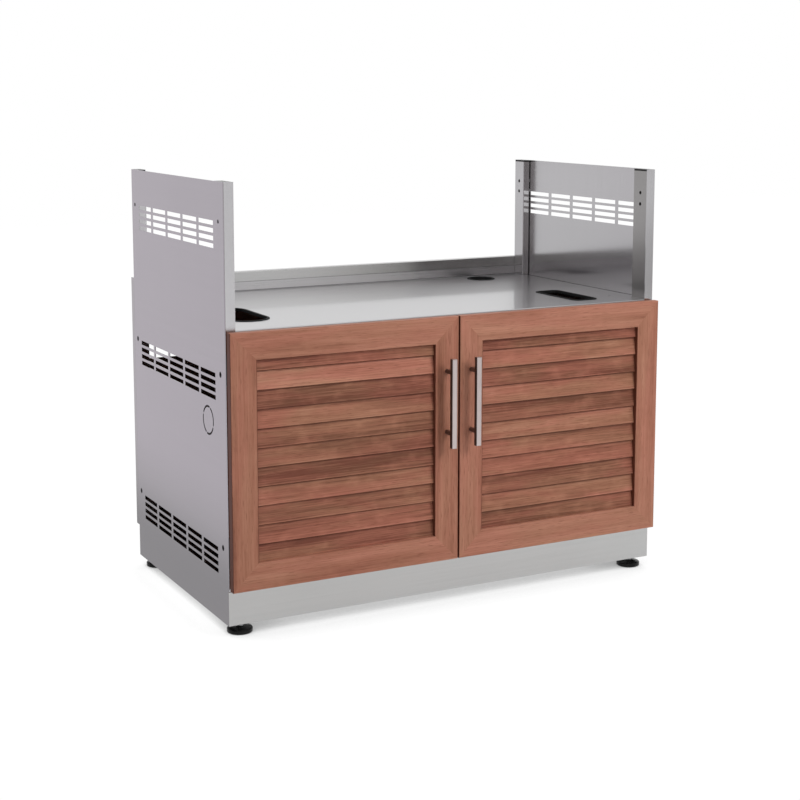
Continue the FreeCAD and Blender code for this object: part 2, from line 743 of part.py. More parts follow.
def inner_stile():
    """Stile at the middle of the cabinet, drilled for the handle."""
    stile = frame_member(door_corner(DOOR_X0, DOOR_Z0), door_corner(DOOR_X0, DOOR_Z1), ALONG_X)
    return stile.cut([
        rod(V(HANDLE_X, DOOR_FRONT - OVERSHOOT, z), ALONG_Y, HANDLE_SCREW_R + FIT, DOOR_T + 2 * OVERSHOOT)
        for z in HANDLE_ZS
    ])


def top_rail():
    """Upper rail of the door frame."""
    return frame_member(door_corner(DOOR_X0, DOOR_Z1), door_corner(DOOR_X1, DOOR_Z1), -ALONG_Z)


def bottom_rail():
    """Lower rail of the door frame."""
    return frame_member(door_corner(DOOR_X0, DOOR_Z0), door_corner(DOOR_X1, DOOR_Z0), ALONG_Z)


def louvre(z):
    """One slat with a round lower nose, leaning back towards its upper edge."""
    tilt = math.radians(LOUVRE_TILT)
    up = V(0, math.sin(tilt), math.cos(tilt))
    across = V(0, math.cos(tilt), -math.sin(tilt)) * (LOUVRE_T / 2)
    nose = V(0, DOOR_FRONT + LOUVRE_RECESS + LOUVRE_T / 2, z + LOUVRE_T / 2)
    head = nose + up * (LOUVRE_H - LOUVRE_T / 2)
    edges = [
        Part.LineSegment(nose - across, head - across).toShape(),
        Part.LineSegment(head - across, head + across).toShape(),
        Part.LineSegment(head + across, nose + across).toShape(),
        Part.Arc(nose + across, nose - up * (LOUVRE_T / 2), nose - across).toShape(),
    ]
    slat = Part.Face(Part.Wire(edges)).extrude(ALONG_X * (DOOR_X1 - DOOR_X0 - 2 * FRAME_W))
    return slat.translated(ALONG_X * (DOOR_X0 + FRAME_W))


def louvres():
    """Slats from the bottom of the door's opening to its top, the first and the last cut to fit."""
    low = DOOR_Z0 + FRAME_W
    high = DOOR_Z1 - FRAME_W
    opening = box(DOOR_X0, DOOR_X1, DOOR_FRONT, SIDE_DEPTH, low, high)
    start = low - LOUVRE_START
    count = math.ceil((high - start) / LOUVRE_PITCH)
    return [louvre(start + k * LOUVRE_PITCH).common(opening) for k in range(count)]


def handle_bar():
    """Square bar handle with eased edges."""
    mid_z = sum(HANDLE_ZS) / len(HANDLE_ZS)
    bar = box(HANDLE_X - HANDLE_W / 2, HANDLE_X + HANDLE_W / 2, HANDLE_FRONT, HANDLE_BACK,
              mid_z - HANDLE_L / 2, mid_z + HANDLE_L / 2)
    return bar.makeFillet(HANDLE_EDGE_R, bar.Edges)


def handle_posts():
    """Round stand-offs between the door and the bar, each with the blind bore of its screw."""
    posts = []
    for z in HANDLE_ZS:
        base = V(HANDLE_X, DOOR_FRONT, z)
        bore = rod(base, -ALONG_Y, HANDLE_SCREW_R + RUNNING_CLEARANCE, HANDLE_SCREW_BITE + OVERSHOOT)
        posts.append(rod(base, -ALONG_Y, HANDLE_POST_R, HANDLE_STANDOFF).cut(bore))
    return posts


def handle_screws():
    """Screws from the back of the stile into the stand-offs."""
    return [
        headed_screw(V(HANDLE_X, DOOR_BACK, z), -ALONG_Y, HANDLE_SCREW_HEAD_R, HANDLE_SCREW_HEAD_H,
                     HANDLE_SCREW_R, DOOR_T + HANDLE_SCREW_BITE)
        for z in HANDLE_ZS
    ]


# Hinges, all for the right-hand door

def hinge_leaf(z_mid, plate_w, plate_y, screw_x, own_knuckles):
    """Hinge leaf: a plate with screw holes, joined to its own knuckles by tabs beside the pin."""
    low = z_mid - HINGE_L / 2
    step = HINGE_L / KNUCKLES
    leaf = box(LEAF_EDGE - plate_w, LEAF_EDGE, plate_y, plate_y + LEAF_T, low, low + HINGE_L)
    for k in own_knuckles:
        z0 = low + k * step + KNUCKLE_GAP / 2
        z1 = low + (k + 1) * step - KNUCKLE_GAP / 2
        tab = box(LEAF_EDGE, HINGE_X, plate_y, plate_y + LEAF_T, z0, z1)
        leaf = leaf.fuse([tab, rod(V(HINGE_X, HINGE_Y, z0), ALONG_Z, KNUCKLE_R, z1 - z0)])
    bore = rod(V(HINGE_X, HINGE_Y, low - OVERSHOOT), ALONG_Z, KNUCKLE_BORE_R, HINGE_L + 2 * OVERSHOOT)
    holes = [
        rod(V(screw_x, plate_y - OVERSHOOT, z), ALONG_Y, HINGE_SCREW_HOLE_R, LEAF_T + 2 * OVERSHOOT)
        for z in hinge_screw_zs() if abs(z - z_mid) < HINGE_L / 2
    ]
    return leaf.removeSplitter().cut([bore] + holes)


def hinge_frame_leaves():
    """Fixed leaves, on the front flange of the side panel, with the outer knuckles."""
    outer = range(0, KNUCKLES, 2)
    return [hinge_leaf(z, FRAME_LEAF_W, -LEAF_T, frame_leaf_screw_x(), outer) for z in HINGE_ZS]


def hinge_door_leaves():
    """Moving leaves, on the back of the outer stile, with the knuckle between."""
    between = range(1, KNUCKLES, 2)
    return [hinge_leaf(z, DOOR_LEAF_W, DOOR_BACK, door_leaf_screw_x(), between) for z in HINGE_ZS]


def hinge_pins():
    """Pins with a head at each end."""
    pins = []
    for z in HINGE_ZS:
        low = V(HINGE_X, HINGE_Y, z - HINGE_L / 2)
        high = low + ALONG_Z * HINGE_L
        pin = rod(low, ALONG_Z, HINGE_PIN_R, HINGE_L)
        heads = [rod(low, -ALONG_Z, PIN_HEAD_R, PIN_HEAD_H), rod(high, ALONG_Z, PIN_HEAD_R, PIN_HEAD_H)]
        pins.append(pin.fuse(heads).removeSplitter())
    return pins


def hinge_frame_screws():
    """Screws that hold the fixed leaves to the flange and the post behind it."""
    length = LEAF_T + 2 * SHEET + HINGE_SCREW_TAIL
    return [
        headed_screw(V(frame_leaf_screw_x(), -LEAF_T, z), ALONG_Y, HINGE_SCREW_HEAD_R, HINGE_SCREW_HEAD_H,
                     HINGE_SCREW_R, length)
        for z in hinge_screw_zs()
    ]


def hinge_door_screws():
    """Screws that hold the moving leaves to the stile."""
    return [
        headed_screw(V(door_leaf_screw_x(), DOOR_BACK + LEAF_T, z), -ALONG_Y, HINGE_SCREW_HEAD_R,
                     HINGE_SCREW_HEAD_H, HINGE_SCREW_R, LEAF_T + HINGE_SCREW_BITE)
        for z in hinge_screw_zs()
    ]


# Catch, strikes and bumpers

def strike_back():
    """Depth of the strikes' rear face with the doors shut."""
    return DOOR_BACK + STRIKE_T


def magnetic_catch():
    """Catch body under the shelf's lip, at the middle of the cabinet."""
    face = strike_back() + CATCH_AIR + POLE_OUT
    body = box(-CATCH_W / 2, CATCH_W / 2, face, face + CATCH_D, SHELF_LIP_Z - CATCH_H, SHELF_LIP_Z)
    below = edges_on(body, lambda p: p.z < SHELF_LIP_Z - CATCH_H + FIT)
    return body.makeFillet(CATCH_EDGE_R, below)


def catch_plates():
    """Pole plates on the front of the catch, one for each door."""
    y1 = strike_back() + CATCH_AIR + POLE_OUT
    mid_z = SHELF_LIP_Z - CATCH_H / 2
    plate = box(POLE_X - POLE_W / 2, POLE_X + POLE_W / 2, y1 - POLE_OUT, y1,
                mid_z - POLE_H / 2, mid_z + POLE_H / 2)
    return [plate, mirrored(plate)]


def strike_plate():
    """Steel strike on the back of the right-hand door."""
    mid_z = SHELF_LIP_Z - CATCH_H / 2
    plate = box(POLE_X - STRIKE_W / 2, POLE_X + STRIKE_W / 2, DOOR_BACK, strike_back(),
                mid_z - STRIKE_H / 2, mid_z + STRIKE_H / 2)
    return plate.makeFillet(STRIKE_T, edges_along(plate, ALONG_Y))


def bumpers():
    """Rubber bumpers on the back of the right-hand door's top rail, against the shelf's lip."""
    length = DOOR_GAP - BUMPER_AIR
    pads = []
    for x in (DOOR_X0 + BUMPER_IN, DOOR_X1 - BUMPER_IN):
        seat = V(x, DOOR_BACK, SHELF_Z - BUMPER_DROP)
        pads.append(Part.makeCone(BUMPER_R, BUMPER_R - BUMPER_TAPER, length, seat, ALONG_Y))
    return pads


# Nodes

def handed(name, pieces):
    """Left and right nodes of a piece, or group of pieces, that is modelled on the right."""
    group = pieces if isinstance(pieces, list) else [pieces]
    return {
        name + "_right": group,
        name + "_left": [mirrored(piece) for piece in group],
    }


def both_sides(pieces):
    """Right-hand pieces together with their mirror images, for a node that holds both."""
    return pieces + [mirrored(piece) for piece in pieces]


def carcass_nodes():
    """Everything that stands still."""
    nodes = {}
    nodes.update(handed("side_panel", side_panel()))
    nodes.update(handed("front_post", front_post()))
    nodes.update(handed("rear_post", rear_post()))
    nodes["post_caps"] = both_sides(post_caps())
    nodes["grill_shelf"] = [grill_shelf()]
    nodes["shelf_supports"] = both_sides([shelf_support()])
    nodes["shelf_stiffeners"] = shelf_stiffeners()
    nodes["hole_edging_left"] = [edging(left_service_hole)]
    nodes["hole_edging_right"] = [edging(right_service_hole)]
    nodes["cable_grommet"] = [edging(round_service_hole)]
    nodes["back_panel"] = [back_panel()]
    nodes["back_panel_screws"] = both_sides(back_panel_screws())
    nodes["floor_panel"] = [floor_panel()]
    nodes["toe_kick"] = [toe_kick()]
    nodes["rear_plinth"] = [rear_plinth()]
    nodes["foot_brackets"] = both_sides(foot_brackets())
    nodes["foot_nuts"] = both_sides([foot_nut(y) for y in FOOT_PLACES.values()])
    nodes["magnetic_catch"] = [magnetic_catch()]
    nodes["catch_plates"] = catch_plates()
    nodes.update(handed("hinge_frame_leaves", hinge_frame_leaves()))
    nodes.update(handed("hinge_pins", hinge_pins()))
    nodes.update(handed("hinge_frame_screws", hinge_frame_screws()))
    return nodes


def door_nodes():
    """Everything that swings with the two doors."""
    makers = {
        "door_outer_stile": outer_stile,
        "door_inner_stile": inner_stile,
        "door_top_rail": top_rail,
        "door_bottom_rail": bottom_rail,
        "door_louvres": louvres,
        "handle_bar": handle_bar,
        "handle_posts": handle_posts,
        "handle_screws": handle_screws,
        "hinge_door_leaves": hinge_door_leaves,
        "hinge_door_screws": hinge_door_screws,
        "strike_plate": strike_plate,
        "door_bumpers": bumpers,
    }
    nodes = {}
    for name, make in makers.items():
        nodes.update(handed(name, make()))
    return nodes


def foot_nodes():
    """The four levelling feet."""
    nodes = {}
    for place, y in FOOT_PLACES.items():
        nodes.update(handed("foot_pad_" + place, foot_pad(y)))
        nodes.update(handed("foot_stem_" + place, foot_stem(y)))
    return nodes


def main():
    """Build every node, move the origin under the middle of the cabinet and write the files."""
    os.makedirs("parts", exist_ok=True)
    nodes = {**carcass_nodes(), **door_nodes(), **foot_nodes()}
    for name, pieces in nodes.items():
        solids = [solid for piece in pieces for solid in piece.translated(V(0, -MIDDLE_Y, 0)).Solids]
        shape = solids[0] if len(solids) == 1 else Part.makeCompound(solids)
        volume = sum(solid.Volume for solid in solids)
        print(f"{name}: {len(solids)} solid(s), {volume / 1000:.1f} cm3, valid {shape.isValid()}")
        shape.exportStep(os.path.join("parts", name + ".step"))


main()
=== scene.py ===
"""Visual model of an outdoor-kitchen base cabinet for a drop-in grill.

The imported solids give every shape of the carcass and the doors. This script dresses them in
brushed steel, streaky wood, satin bars and black mouldings, and replaces the small turned and
moulded pieces (threaded stems, screws, rubber edgings) by finer surfaces worked out with numpy.
Lengths are metres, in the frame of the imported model. Colours are linear.
"""
import json
import logging
import math
from dataclasses import dataclass
from enum import Enum
from typing import Any, Optional, Sequence, Union

import bpy
import numpy as np
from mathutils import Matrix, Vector

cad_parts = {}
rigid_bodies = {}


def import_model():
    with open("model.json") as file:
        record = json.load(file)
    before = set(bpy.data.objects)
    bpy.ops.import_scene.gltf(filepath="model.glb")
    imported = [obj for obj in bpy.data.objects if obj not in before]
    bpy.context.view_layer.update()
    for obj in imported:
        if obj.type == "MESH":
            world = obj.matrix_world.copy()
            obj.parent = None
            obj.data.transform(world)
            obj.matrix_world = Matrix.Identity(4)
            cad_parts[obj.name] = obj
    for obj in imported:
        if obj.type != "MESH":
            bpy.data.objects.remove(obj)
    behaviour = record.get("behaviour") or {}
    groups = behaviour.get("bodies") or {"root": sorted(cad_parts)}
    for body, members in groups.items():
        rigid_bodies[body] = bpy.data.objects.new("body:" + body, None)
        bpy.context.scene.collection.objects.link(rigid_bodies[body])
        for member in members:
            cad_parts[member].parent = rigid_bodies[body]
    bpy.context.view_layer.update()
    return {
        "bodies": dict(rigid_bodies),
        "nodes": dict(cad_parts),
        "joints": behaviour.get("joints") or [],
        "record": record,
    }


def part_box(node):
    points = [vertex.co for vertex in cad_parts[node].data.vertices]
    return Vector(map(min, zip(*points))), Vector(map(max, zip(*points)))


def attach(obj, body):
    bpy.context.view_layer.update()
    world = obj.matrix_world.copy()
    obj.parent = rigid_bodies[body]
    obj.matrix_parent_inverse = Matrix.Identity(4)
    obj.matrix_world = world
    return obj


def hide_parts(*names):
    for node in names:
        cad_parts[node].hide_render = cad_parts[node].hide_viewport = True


Colour = tuple[float, float, float]
Point = tuple[float, float, float]
Pair = tuple[float, float]
Stops = Sequence[tuple[float, Colour]]
Surface = tuple[np.ndarray, np.ndarray, Sequence[np.ndarray]]

LOG = logging.getLogger("cabinet")
MM = 0.001
QUARTER_TURN = math.pi / 2.0
FULL_TURN = 2.0 * math.pi
NOISE_MIDDLE = 0.5
ORIGIN: Point = (0.0, 0.0, 0.0)
WHITE: Colour = (1.0, 1.0, 1.0)
HINGE_STEEL: Colour = (0.05, 0.048, 0.046)
HINGE_ROUGHNESS = 0.45
ONE_QUAD = np.array([[0, 1, 2, 3]])
CORNER_SIGNS = np.array([(1, 1), (-1, 1), (-1, -1), (1, -1)])

# Sockets of a Mix node that blends colours, by number, because its other kinds share their names.
MIX_SHARE, MIX_FIRST, MIX_SECOND, MIX_RESULT = 0, 6, 7, 2

# Tone of each slat of a door, the lowest first.
LEFT_TONES = (0.24, 0.40, 0.34, 0.46, 0.22, 0.40, 0.34, 0.46, 0.27, 0.72, 0.36)
RIGHT_TONES = (0.28, 0.50, 0.26, 0.45, 0.41, 0.52, 0.27, 0.54, 0.30, 0.52, 0.32)


class Axis(Enum):
    """Direction in which a finish runs: the brushing of a sheet or the grain of a board."""

    X = 0
    Y = 1
    Z = 2


class Side(Enum):
    """Half of the cabinet, seen from the front."""

    LEFT = -1
    RIGHT = 1

    @property
    def suffix(self) -> str:
        """Ending of the node names on this side."""
        return "_" + self.name.lower()


# Shader writing


class Val:
    """One output socket of a node tree, with arithmetic that adds Math nodes."""

    def __init__(self, shader: "Shader", socket: Optional[bpy.types.NodeSocket]) -> None:
        """Keep the socket and the tree writer it belongs to."""
        self.shader = shader
        self.socket = socket

    def _math(self, operation: str, first: "Term", second: Optional["Term"] = None) -> "Val":
        """Add a Math node.

        Args:
            operation: name of the Math operation.
            first: left operand.
            second: right operand, where the operation has one.

        Returns:
            The node's result.
        """
        inputs: dict[Union[int, str], Term] = {0: first}
        if second is not None:
            inputs[1] = second
        return self.shader.node("ShaderNodeMath", {"operation": operation}, inputs)

    def __add__(self, other: "Term") -> "Val":
        """Sum."""
        return self._math("ADD", self, other)

    def __radd__(self, other: "Term") -> "Val":
        """Sum with the socket on the right."""
        return self._math("ADD", other, self)

    def __sub__(self, other: "Term") -> "Val":
        """Difference."""
        return self._math("SUBTRACT", self, other)

    def __rsub__(self, other: "Term") -> "Val":
        """Difference with the socket on the right."""
        return self._math("SUBTRACT", other, self)

    def __mul__(self, other: "Term") -> "Val":
        """Product."""
        return self._math("MULTIPLY", self, other)

    def __rmul__(self, other: "Term") -> "Val":
        """Product with the socket on the right."""
        return self._math("MULTIPLY", other, self)

    def __truediv__(self, other: "Term") -> "Val":
        """Quotient."""
        return self._math("DIVIDE", self, other)

    def __rtruediv__(self, other: "Term") -> "Val":
        """Quotient with the socket on the right."""
        return self._math("DIVIDE", other, self)

    def __gt__(self, other: "Term") -> "Val":
        """One where this value is the larger, else zero."""
        return self._math("GREATER_THAN", self, other)

    def __lt__(self, other: "Term") -> "Val":
        """One where this value is the smaller, else zero."""
        return self._math("LESS_THAN", self, other)

    def floor(self) -> "Val":
        """Whole number below the value."""
        return self._math("FLOOR", self)

    def part(self) -> "Val":
        """What is left of the value above the whole number below it."""
        return self._math("FRACT", self)

    def size(self) -> "Val":
        """Value without its sign."""
        return self._math("ABSOLUTE", self)

    def root(self) -> "Val":
        """Square root."""
        return self._math("SQRT", self)

    def largest(self, other: "Term") -> "Val":
        """The larger of two values."""
        return self._math("MAXIMUM", self, other)

    def sway(self, amount: float) -> "Val":
        """Noise less its middle, times an amount."""
        return (self - NOISE_MIDDLE) * amount

    def between(self, low: float, high: float) -> "Val":
        """Ramp from zero at low to one at high, clamped and eased at both ends."""
        return self.shader.node("ShaderNodeMapRange", {"interpolation_type": "SMOOTHSTEP"},
                                {"Value": self, "From Min": low, "From Max": high}, "Result")


Term = Union[Val, float]


class Shader:
    """Writer of one node tree."""

    def __init__(self, tree: bpy.types.NodeTree) -> None:
        """Start from an empty tree."""
        self.tree = tree
        tree.nodes.clear()

    def node(self, kind: str, settings: Optional[dict[str, Any]] = None,
             inputs: Optional[dict[Union[int, str], Any]] = None,
             output: Union[int, str] = 0) -> Val:
        """Add a node.

        Args:
            kind: Blender's type name of the node.
            settings: properties set before the sockets; "stops" holds a ramp's positions and
                colours, and "steps" says that the ramp jumps from one to the next.
            inputs: value or link of each named or numbered input socket.
            output: the output socket that is wanted.

        Returns:
            That output, or nothing for a node that ends the tree.
        """
        made = self.tree.nodes.new(kind)
        settings = dict(settings or {})
        stops = settings.pop("stops", ())
        if settings.pop("steps", False):
            made.color_ramp.interpolation = "CONSTANT"
        for name, value in settings.items():
            setattr(made, name, value)
        if stops:
            self._fill_ramp(made.color_ramp, stops)
        for key, value in (inputs or {}).items():
            if isinstance(value, Val):
                self.tree.links.new(value.socket, made.inputs[key])
            else:
                made.inputs[key].default_value = value
        return Val(self, made.outputs[output] if made.outputs else None)

    @staticmethod
    def _fill_ramp(ramp: bpy.types.ColorRamp, stops: Stops) -> None:
        """Give a colour ramp its stops.

        Args:
            ramp: the ramp, which has two stops of its own at first.
            stops: position and colour of each stop, at least two.
        """
        while len(ramp.elements) < len(stops):
            ramp.elements.new(1.0)
        for element, (position, colour) in zip(ramp.elements, stops):
            element.position = position
            element.color = (*colour, 1.0)

    def mix(self, share: Term, first: Any, second: Any, blend: str = "MIX") -> Val:
        """Blend two colours.

        Args:
            share: weight of the second colour.
            first: colour or link.
            second: colour or link.
            blend: blending mode.

        Returns:
            The blended colour.
        """
        settings = {"data_type": "RGBA", "blend_type": blend, "clamp_factor": True}
        ends = [value if isinstance(value, Val) else (*value, 1.0) for value in (first, second)]
        inputs = {MIX_SHARE: share, MIX_FIRST: ends[0], MIX_SECOND: ends[1]}
        return self.node("ShaderNodeMix", settings, inputs, MIX_RESULT)

    def ramp(self, stops: Stops, share: Val, steps: bool = False) -> Val:
        """Colour that a ramp of stops has at a share."""
        return self.node("ShaderNodeValToRGB", {"stops": stops, "steps": steps}, {0: share},
                         "Color")

    def along(self, axis: Axis) -> Val:
        """One of the object coordinates."""
        where = self.node("ShaderNodeTexCoord", output="Object")
        return self.node("ShaderNodeSeparateXYZ", None, {0: where}, axis.name)

    def outside(self, middle: float, half: float) -> Val:
        """One where a point lies further than half from a middle, across the cabinet."""
        return (self.along(Axis.X) - middle).size() > half

    def bump(self, height: Val, strength: float, distance: float) -> Val:
        """Surface normal disturbed by a height."""
        return self.node("ShaderNodeBump", None,
                         {"Height": height, "Strength": strength, "Distance": distance})

    def surface(self, **sockets: Any) -> Val:
        """Principled surface, its sockets named with underscores for spaces."""
        return self.node("ShaderNodeBsdfPrincipled", None,
                         {name.replace("_", " "): value for name, value in sockets.items()})

    def close(self, surface: Val) -> None:
        """Send a surface to the output."""
        self.node("ShaderNodeOutputMaterial", None, {"Surface": surface})


@dataclass(frozen=True)
class Layer:
    """One soft noise of a finish: its cells per metre along an axis and across it, how fine and
    how warped it is, and where it starts."""

    along: float
    across: float
    detail: float = 2.0
    roughness: float = 0.5
    warp: float = 0.0
    shift: Point = ORIGIN

    def read(self, sh: Shader, axis: Axis = Axis.Z, start: Point = ORIGIN) -> Val:
        """Add the noise to a tree.

        Args:
            sh: writer of the tree.
            axis: axis along which the noise is drawn out.
            start: further shift, which sets one piece apart from the next.

        Returns:
            The noise, between zero and one.
        """
        scale = [self.along if one is axis else self.across for one in Axis]
        shift = [own + further for own, further in zip(self.shift, start)]
        where = sh.node("ShaderNodeTexCoord", output="Object")
        place = sh.node("ShaderNodeMapping", None,
                        {"Vector": where, "Scale": scale, "Location": shift})
        return sh.node("ShaderNodeTexNoise", None,
                       {"Vector": place, "Scale": 1.0, "Detail": self.detail,
                        "Roughness": self.roughness, "Distortion": self.warp})


def shaded(colour: Colour, factor: float) -> Colour:
    """Colour made lighter or darker by a factor, at most white."""
    red, green, blue = (min(1.0, value * factor) for value in colour)
    return red, green, blue


def new_material(name: str, tint: Colour) -> tuple[bpy.types.Material, Shader]:
    """Make an empty node material.

    Args:
        name: name of the finish.
        tint: plain colour for solid views.

    Returns:
        The material and the writer of its tree.
    """
    material = bpy.data.materials.new(name)
    material.use_nodes = True
    material.diffuse_color = (*tint, 1.0)
    return material, Shader(material.node_tree)


# Finishes


@dataclass(frozen=True)
class Cut:
    """Round cut in an upright sheet, with painted shade along its edge that widens the dark of the
    cut.

    A ring of cuts leaves tabs standing, which lie on two crossing lines through its middle.
    """

    y: float
    z: float
    radius: float
    half_width: float
    tab: float = 0.0
    turn: float = 0.0

    def scorched(self, sh: Shader) -> Val:
        """Find the points along the cut: those whose distance from the middle is near the radius,
        unless they lie within half a tab of a crossing line.

        Args:
            sh: writer of the sheet's tree.

        Returns:
            One along the cut, else zero.
        """
        # Painted shade: a dark band along the cut.
        across = sh.along(Axis.Y) - self.y
        up = sh.along(Axis.Z) - self.z
        ring = ((across * across + up * up).root() - self.radius).size() < self.half_width
        if not self.tab:
            return ring
        cosine, sine = math.cos(self.turn), math.sin(self.turn)
        first = (up * cosine - across * sine).size()
        second = (across * cosine + up * sine).size()
        return ring * (first > self.tab / 2) * (second > self.tab / 2)


@dataclass(frozen=True)
class Upturn:
    """Part of a sheet that is turned up: where it starts and ends, how rough it is, and the
    painted shade lines at its fold and cut edge."""

    start: float
    end: float
    roughness: float = 0.28
    fold: float = 2.0 * MM
    cut: float = 0.9 * MM
    dull_tone: float = 0.38

    def dull(self, rise: Val) -> Val:
        """One in the fold and at the cut edge, where shade is painted, else zero."""
        folded = (rise > self.start) * (rise < self.start + self.fold)
        return folded.largest(rise > self.end - self.cut)


@dataclass(frozen=True)
class BrushedSteel:
    """Sheet metal with fine parallel brush lines, wider streaks and faint broad clouds.

    What it mirrors may be drawn out one way (drawn_out, turn), dim at a flat angle (edge_tone) and
    show again, crisp, in a thin film on top (gloss). A sheet may have an upturn, with painted
    shade lines at its fold and top edge, sides painted dark as shade, given by their middle and
    half the width between them, and painted shade round its cuts.
    """

    name: str
    colour: Colour
    brush: Axis
    roughness: float = 0.20
    contrast: float = 0.05
    drawn_out: float = 0.0
    turn: float = 0.25
    edge_tone: float = 1.0
    gloss: float = 0.0
    gloss_roughness: float = 0.08
    upturn: Optional[Upturn] = None
    # Sides that get painted shade, and the tone of that shade.
    dark_sides: Optional[Pair] = None
    side_tone: float = 0.10
    cuts: tuple[Cut, ...] = ()
    cut_tone: float = 0.03
    lines: Layer = Layer(3.0, 1400.0, detail=3.0, roughness=0.65)
    streaks: Layer = Layer(1.6, 170.0, shift=(3.1, 1.7, 5.3))
    clouds: Layer = Layer(5.0, 5.0, detail=3.0, roughness=0.55, shift=(7.0, 2.0, 4.0))
    line_share: float = 0.55
    streak_share: float = 0.7
    tone_range: Pair = (0.25, 0.75)
    streak_rough: float = 0.08
    cloud_rough: float = 0.06
    relief: Pair = (0.02, 0.2 * MM)

    def material(self) -> bpy.types.Material:
        """Make the material: noise drawn out along the brushing shades colour, roughness and bump.

        Returns:
            The material.
        """
        made, sh = new_material(self.name, self.colour)
        lines = self.lines.read(sh, self.brush)
        cloud = self.clouds.read(sh)
        streak = (lines * self.line_share
                  + self.streaks.read(sh, self.brush) * (1.0 - self.line_share))
        tone = streak * self.streak_share + cloud * (1.0 - self.streak_share)
        colour = sh.mix(tone.between(*self.tone_range), shaded(self.colour, 1.0 - self.contrast),
                        shaded(self.colour, 1.0 + self.contrast))
        rough = self.roughness + streak.sway(self.streak_rough) + cloud.sway(self.cloud_rough)
        if self.upturn:
            rise = sh.along(Axis.Z)
            turned = rise > self.upturn.start
            rough = rough + turned * (self.upturn.roughness - self.roughness)
            # Painted shade: dark lines at the upturn's fold and top edge.
            dull = shaded(self.colour, self.upturn.dull_tone)
            colour = sh.mix(self.upturn.dull(rise), colour, dull)
        if self.dark_sides:
            # Painted shade along the sides: the gaps at a deck's edges, the shaded sides of a bar.
            side = shaded(self.colour, self.side_tone)
            colour = sh.mix(sh.outside(*self.dark_sides), colour, side)
        # Painted shade round each cut.
        for cut in self.cuts:
            colour = sh.mix(cut.scorched(sh), colour, shaded(self.colour, self.cut_tone))
        sh.close(sh.surface(Base_Color=colour, Metallic=1.0, Roughness=rough,
                            Specular_Tint=(*shaded(WHITE, self.edge_tone), 1.0),
                            Coat_Weight=self.gloss, Coat_Roughness=self.gloss_roughness,
                            Anisotropic=self.drawn_out, Anisotropic_Rotation=self.turn,
                            Normal=sh.bump(lines, *self.relief)))
        return made


@dataclass(frozen=True)
class PlatedSteel:
    """Zinc-plated steel of hidden brackets and fixings: a faint patchy bloom on a dull metal."""

    name: str
    colour: Colour
    roughness: float = 0.38
    patches: Layer = Layer(60.0, 60.0, detail=3.0)
    grit: Layer = Layer(900.0, 900.0)
    patch_range: Pair = (0.3, 0.7)
    deep: float = 0.86
    pale: float = 1.10
    grit_rough: float = 0.2
    relief: Pair = (0.05, 0.3 * MM)

    def material(self) -> bpy.types.Material:
        """Make the material: soft patches vary the tone a little, fine noise varies the gloss.

        Returns:
            The material.
        """
        made, sh = new_material(self.name, self.colour)
        grit = self.grit.read(sh)
        colour = sh.mix(self.patches.read(sh).between(*self.patch_range),
                        shaded(self.colour, self.deep), shaded(self.colour, self.pale))
        sh.close(sh.surface(Base_Color=colour, Metallic=1.0,
                            Roughness=self.roughness + grit.sway(self.grit_rough),
                            Normal=sh.bump(grit, *self.relief)))
        return made


@dataclass(frozen=True)
class BlackMoulding:
    """Black rubber or plastic with a fine moulded grain and a little dust in the grain."""

    name: str
    colour: Colour
    roughness: float
    shine: float = 0.35
    grain: Layer = Layer(1600.0, 1600.0)
    dust: Layer = Layer(35.0, 35.0, detail=3.0, roughness=0.6)
    dust_range: Pair = (0.45, 0.8)
    dust_gain: float = 1.9
    dust_tone: float = 0.006
    grain_rough: float = 0.15
    dust_rough: float = 0.12
    relief: Pair = (0.12, 0.4 * MM)

    def material(self) -> bpy.types.Material:
        """Make the material: fine noise gives the grain, broad noise a paler dusty bloom.

        Returns:
            The material.
        """
        made, sh = new_material(self.name, self.colour)
        grain, dust = self.grain.read(sh), self.dust.read(sh)
        pale = tuple(value * self.dust_gain + self.dust_tone for value in self.colour)
        rough = self.roughness + grain.sway(self.grain_rough) + dust.sway(self.dust_rough)
        sh.close(sh.surface(Base_Color=sh.mix(dust.between(*self.dust_range), self.colour, pale),
                            Roughness=rough, Normal=sh.bump(grain, *self.relief),
                            Specular_IOR_Level=self.shine))
        return made


@dataclass(frozen=True)
class Slats:
    """How a louvred panel is divided, so that every slat can have its own shade.

    A slat leans back, so the coordinate that tells slats apart is height less depth times the
    slope of a slat. Below its rounded nose, where no light falls, shade is painted, and a
    highlight is painted just above.
    """

    low: float
    pitch: float
    nose_depth: float
    tones: tuple[float, ...]
    slope: float = 1.0 / math.tan(math.radians(9.0))
    behind: float = 35.0 * MM
    nose: Pair = (1.2 * MM, 2.4 * MM)
    # Strength of the painted shade under a nose and of the painted highlight above it.
    shade: float = 0.9
    shine: float = 0.14
    swing: float = 1.15

    def tone(self, sh: Shader) -> Val:
        """Tone of the slat that a point is on, with a painted highlight just above its nose.

        Args:
            sh: writer of the wood's tree.

        Returns:
            A number added to the tone of the grain.
        """
        front = sh.along(Axis.Z) - (sh.along(Axis.Y) - self.nose_depth) * self.slope
        number = ((front + (self.behind - self.low)) / self.pitch).floor()
        count = len(self.tones)
        stops = [(k / count, (tone, tone, tone)) for k, tone in enumerate(self.tones)]
        shade = sh.ramp(stops, (number + 0.5) / count, steps=True)
        rise = self.rise(sh)
        # Painted highlight just above the nose.
        edge = rise.between(*self.nose) - rise.between(self.nose[1], 2.0 * self.nose[1])
        return shade.sway(self.swing) + edge * self.shine

    def rise(self, sh: Shader) -> Val:
        """Height above the lower edge of the slat."""
        return ((sh.along(Axis.Z) - self.low) / self.pitch).part() * self.pitch

    def under_nose(self, sh: Shader) -> Val:
        """Share of painted shade: most at the lower edge of each slat, none above its nose."""
        return (1.0 - self.rise(sh).between(*self.nose)) * self.shade


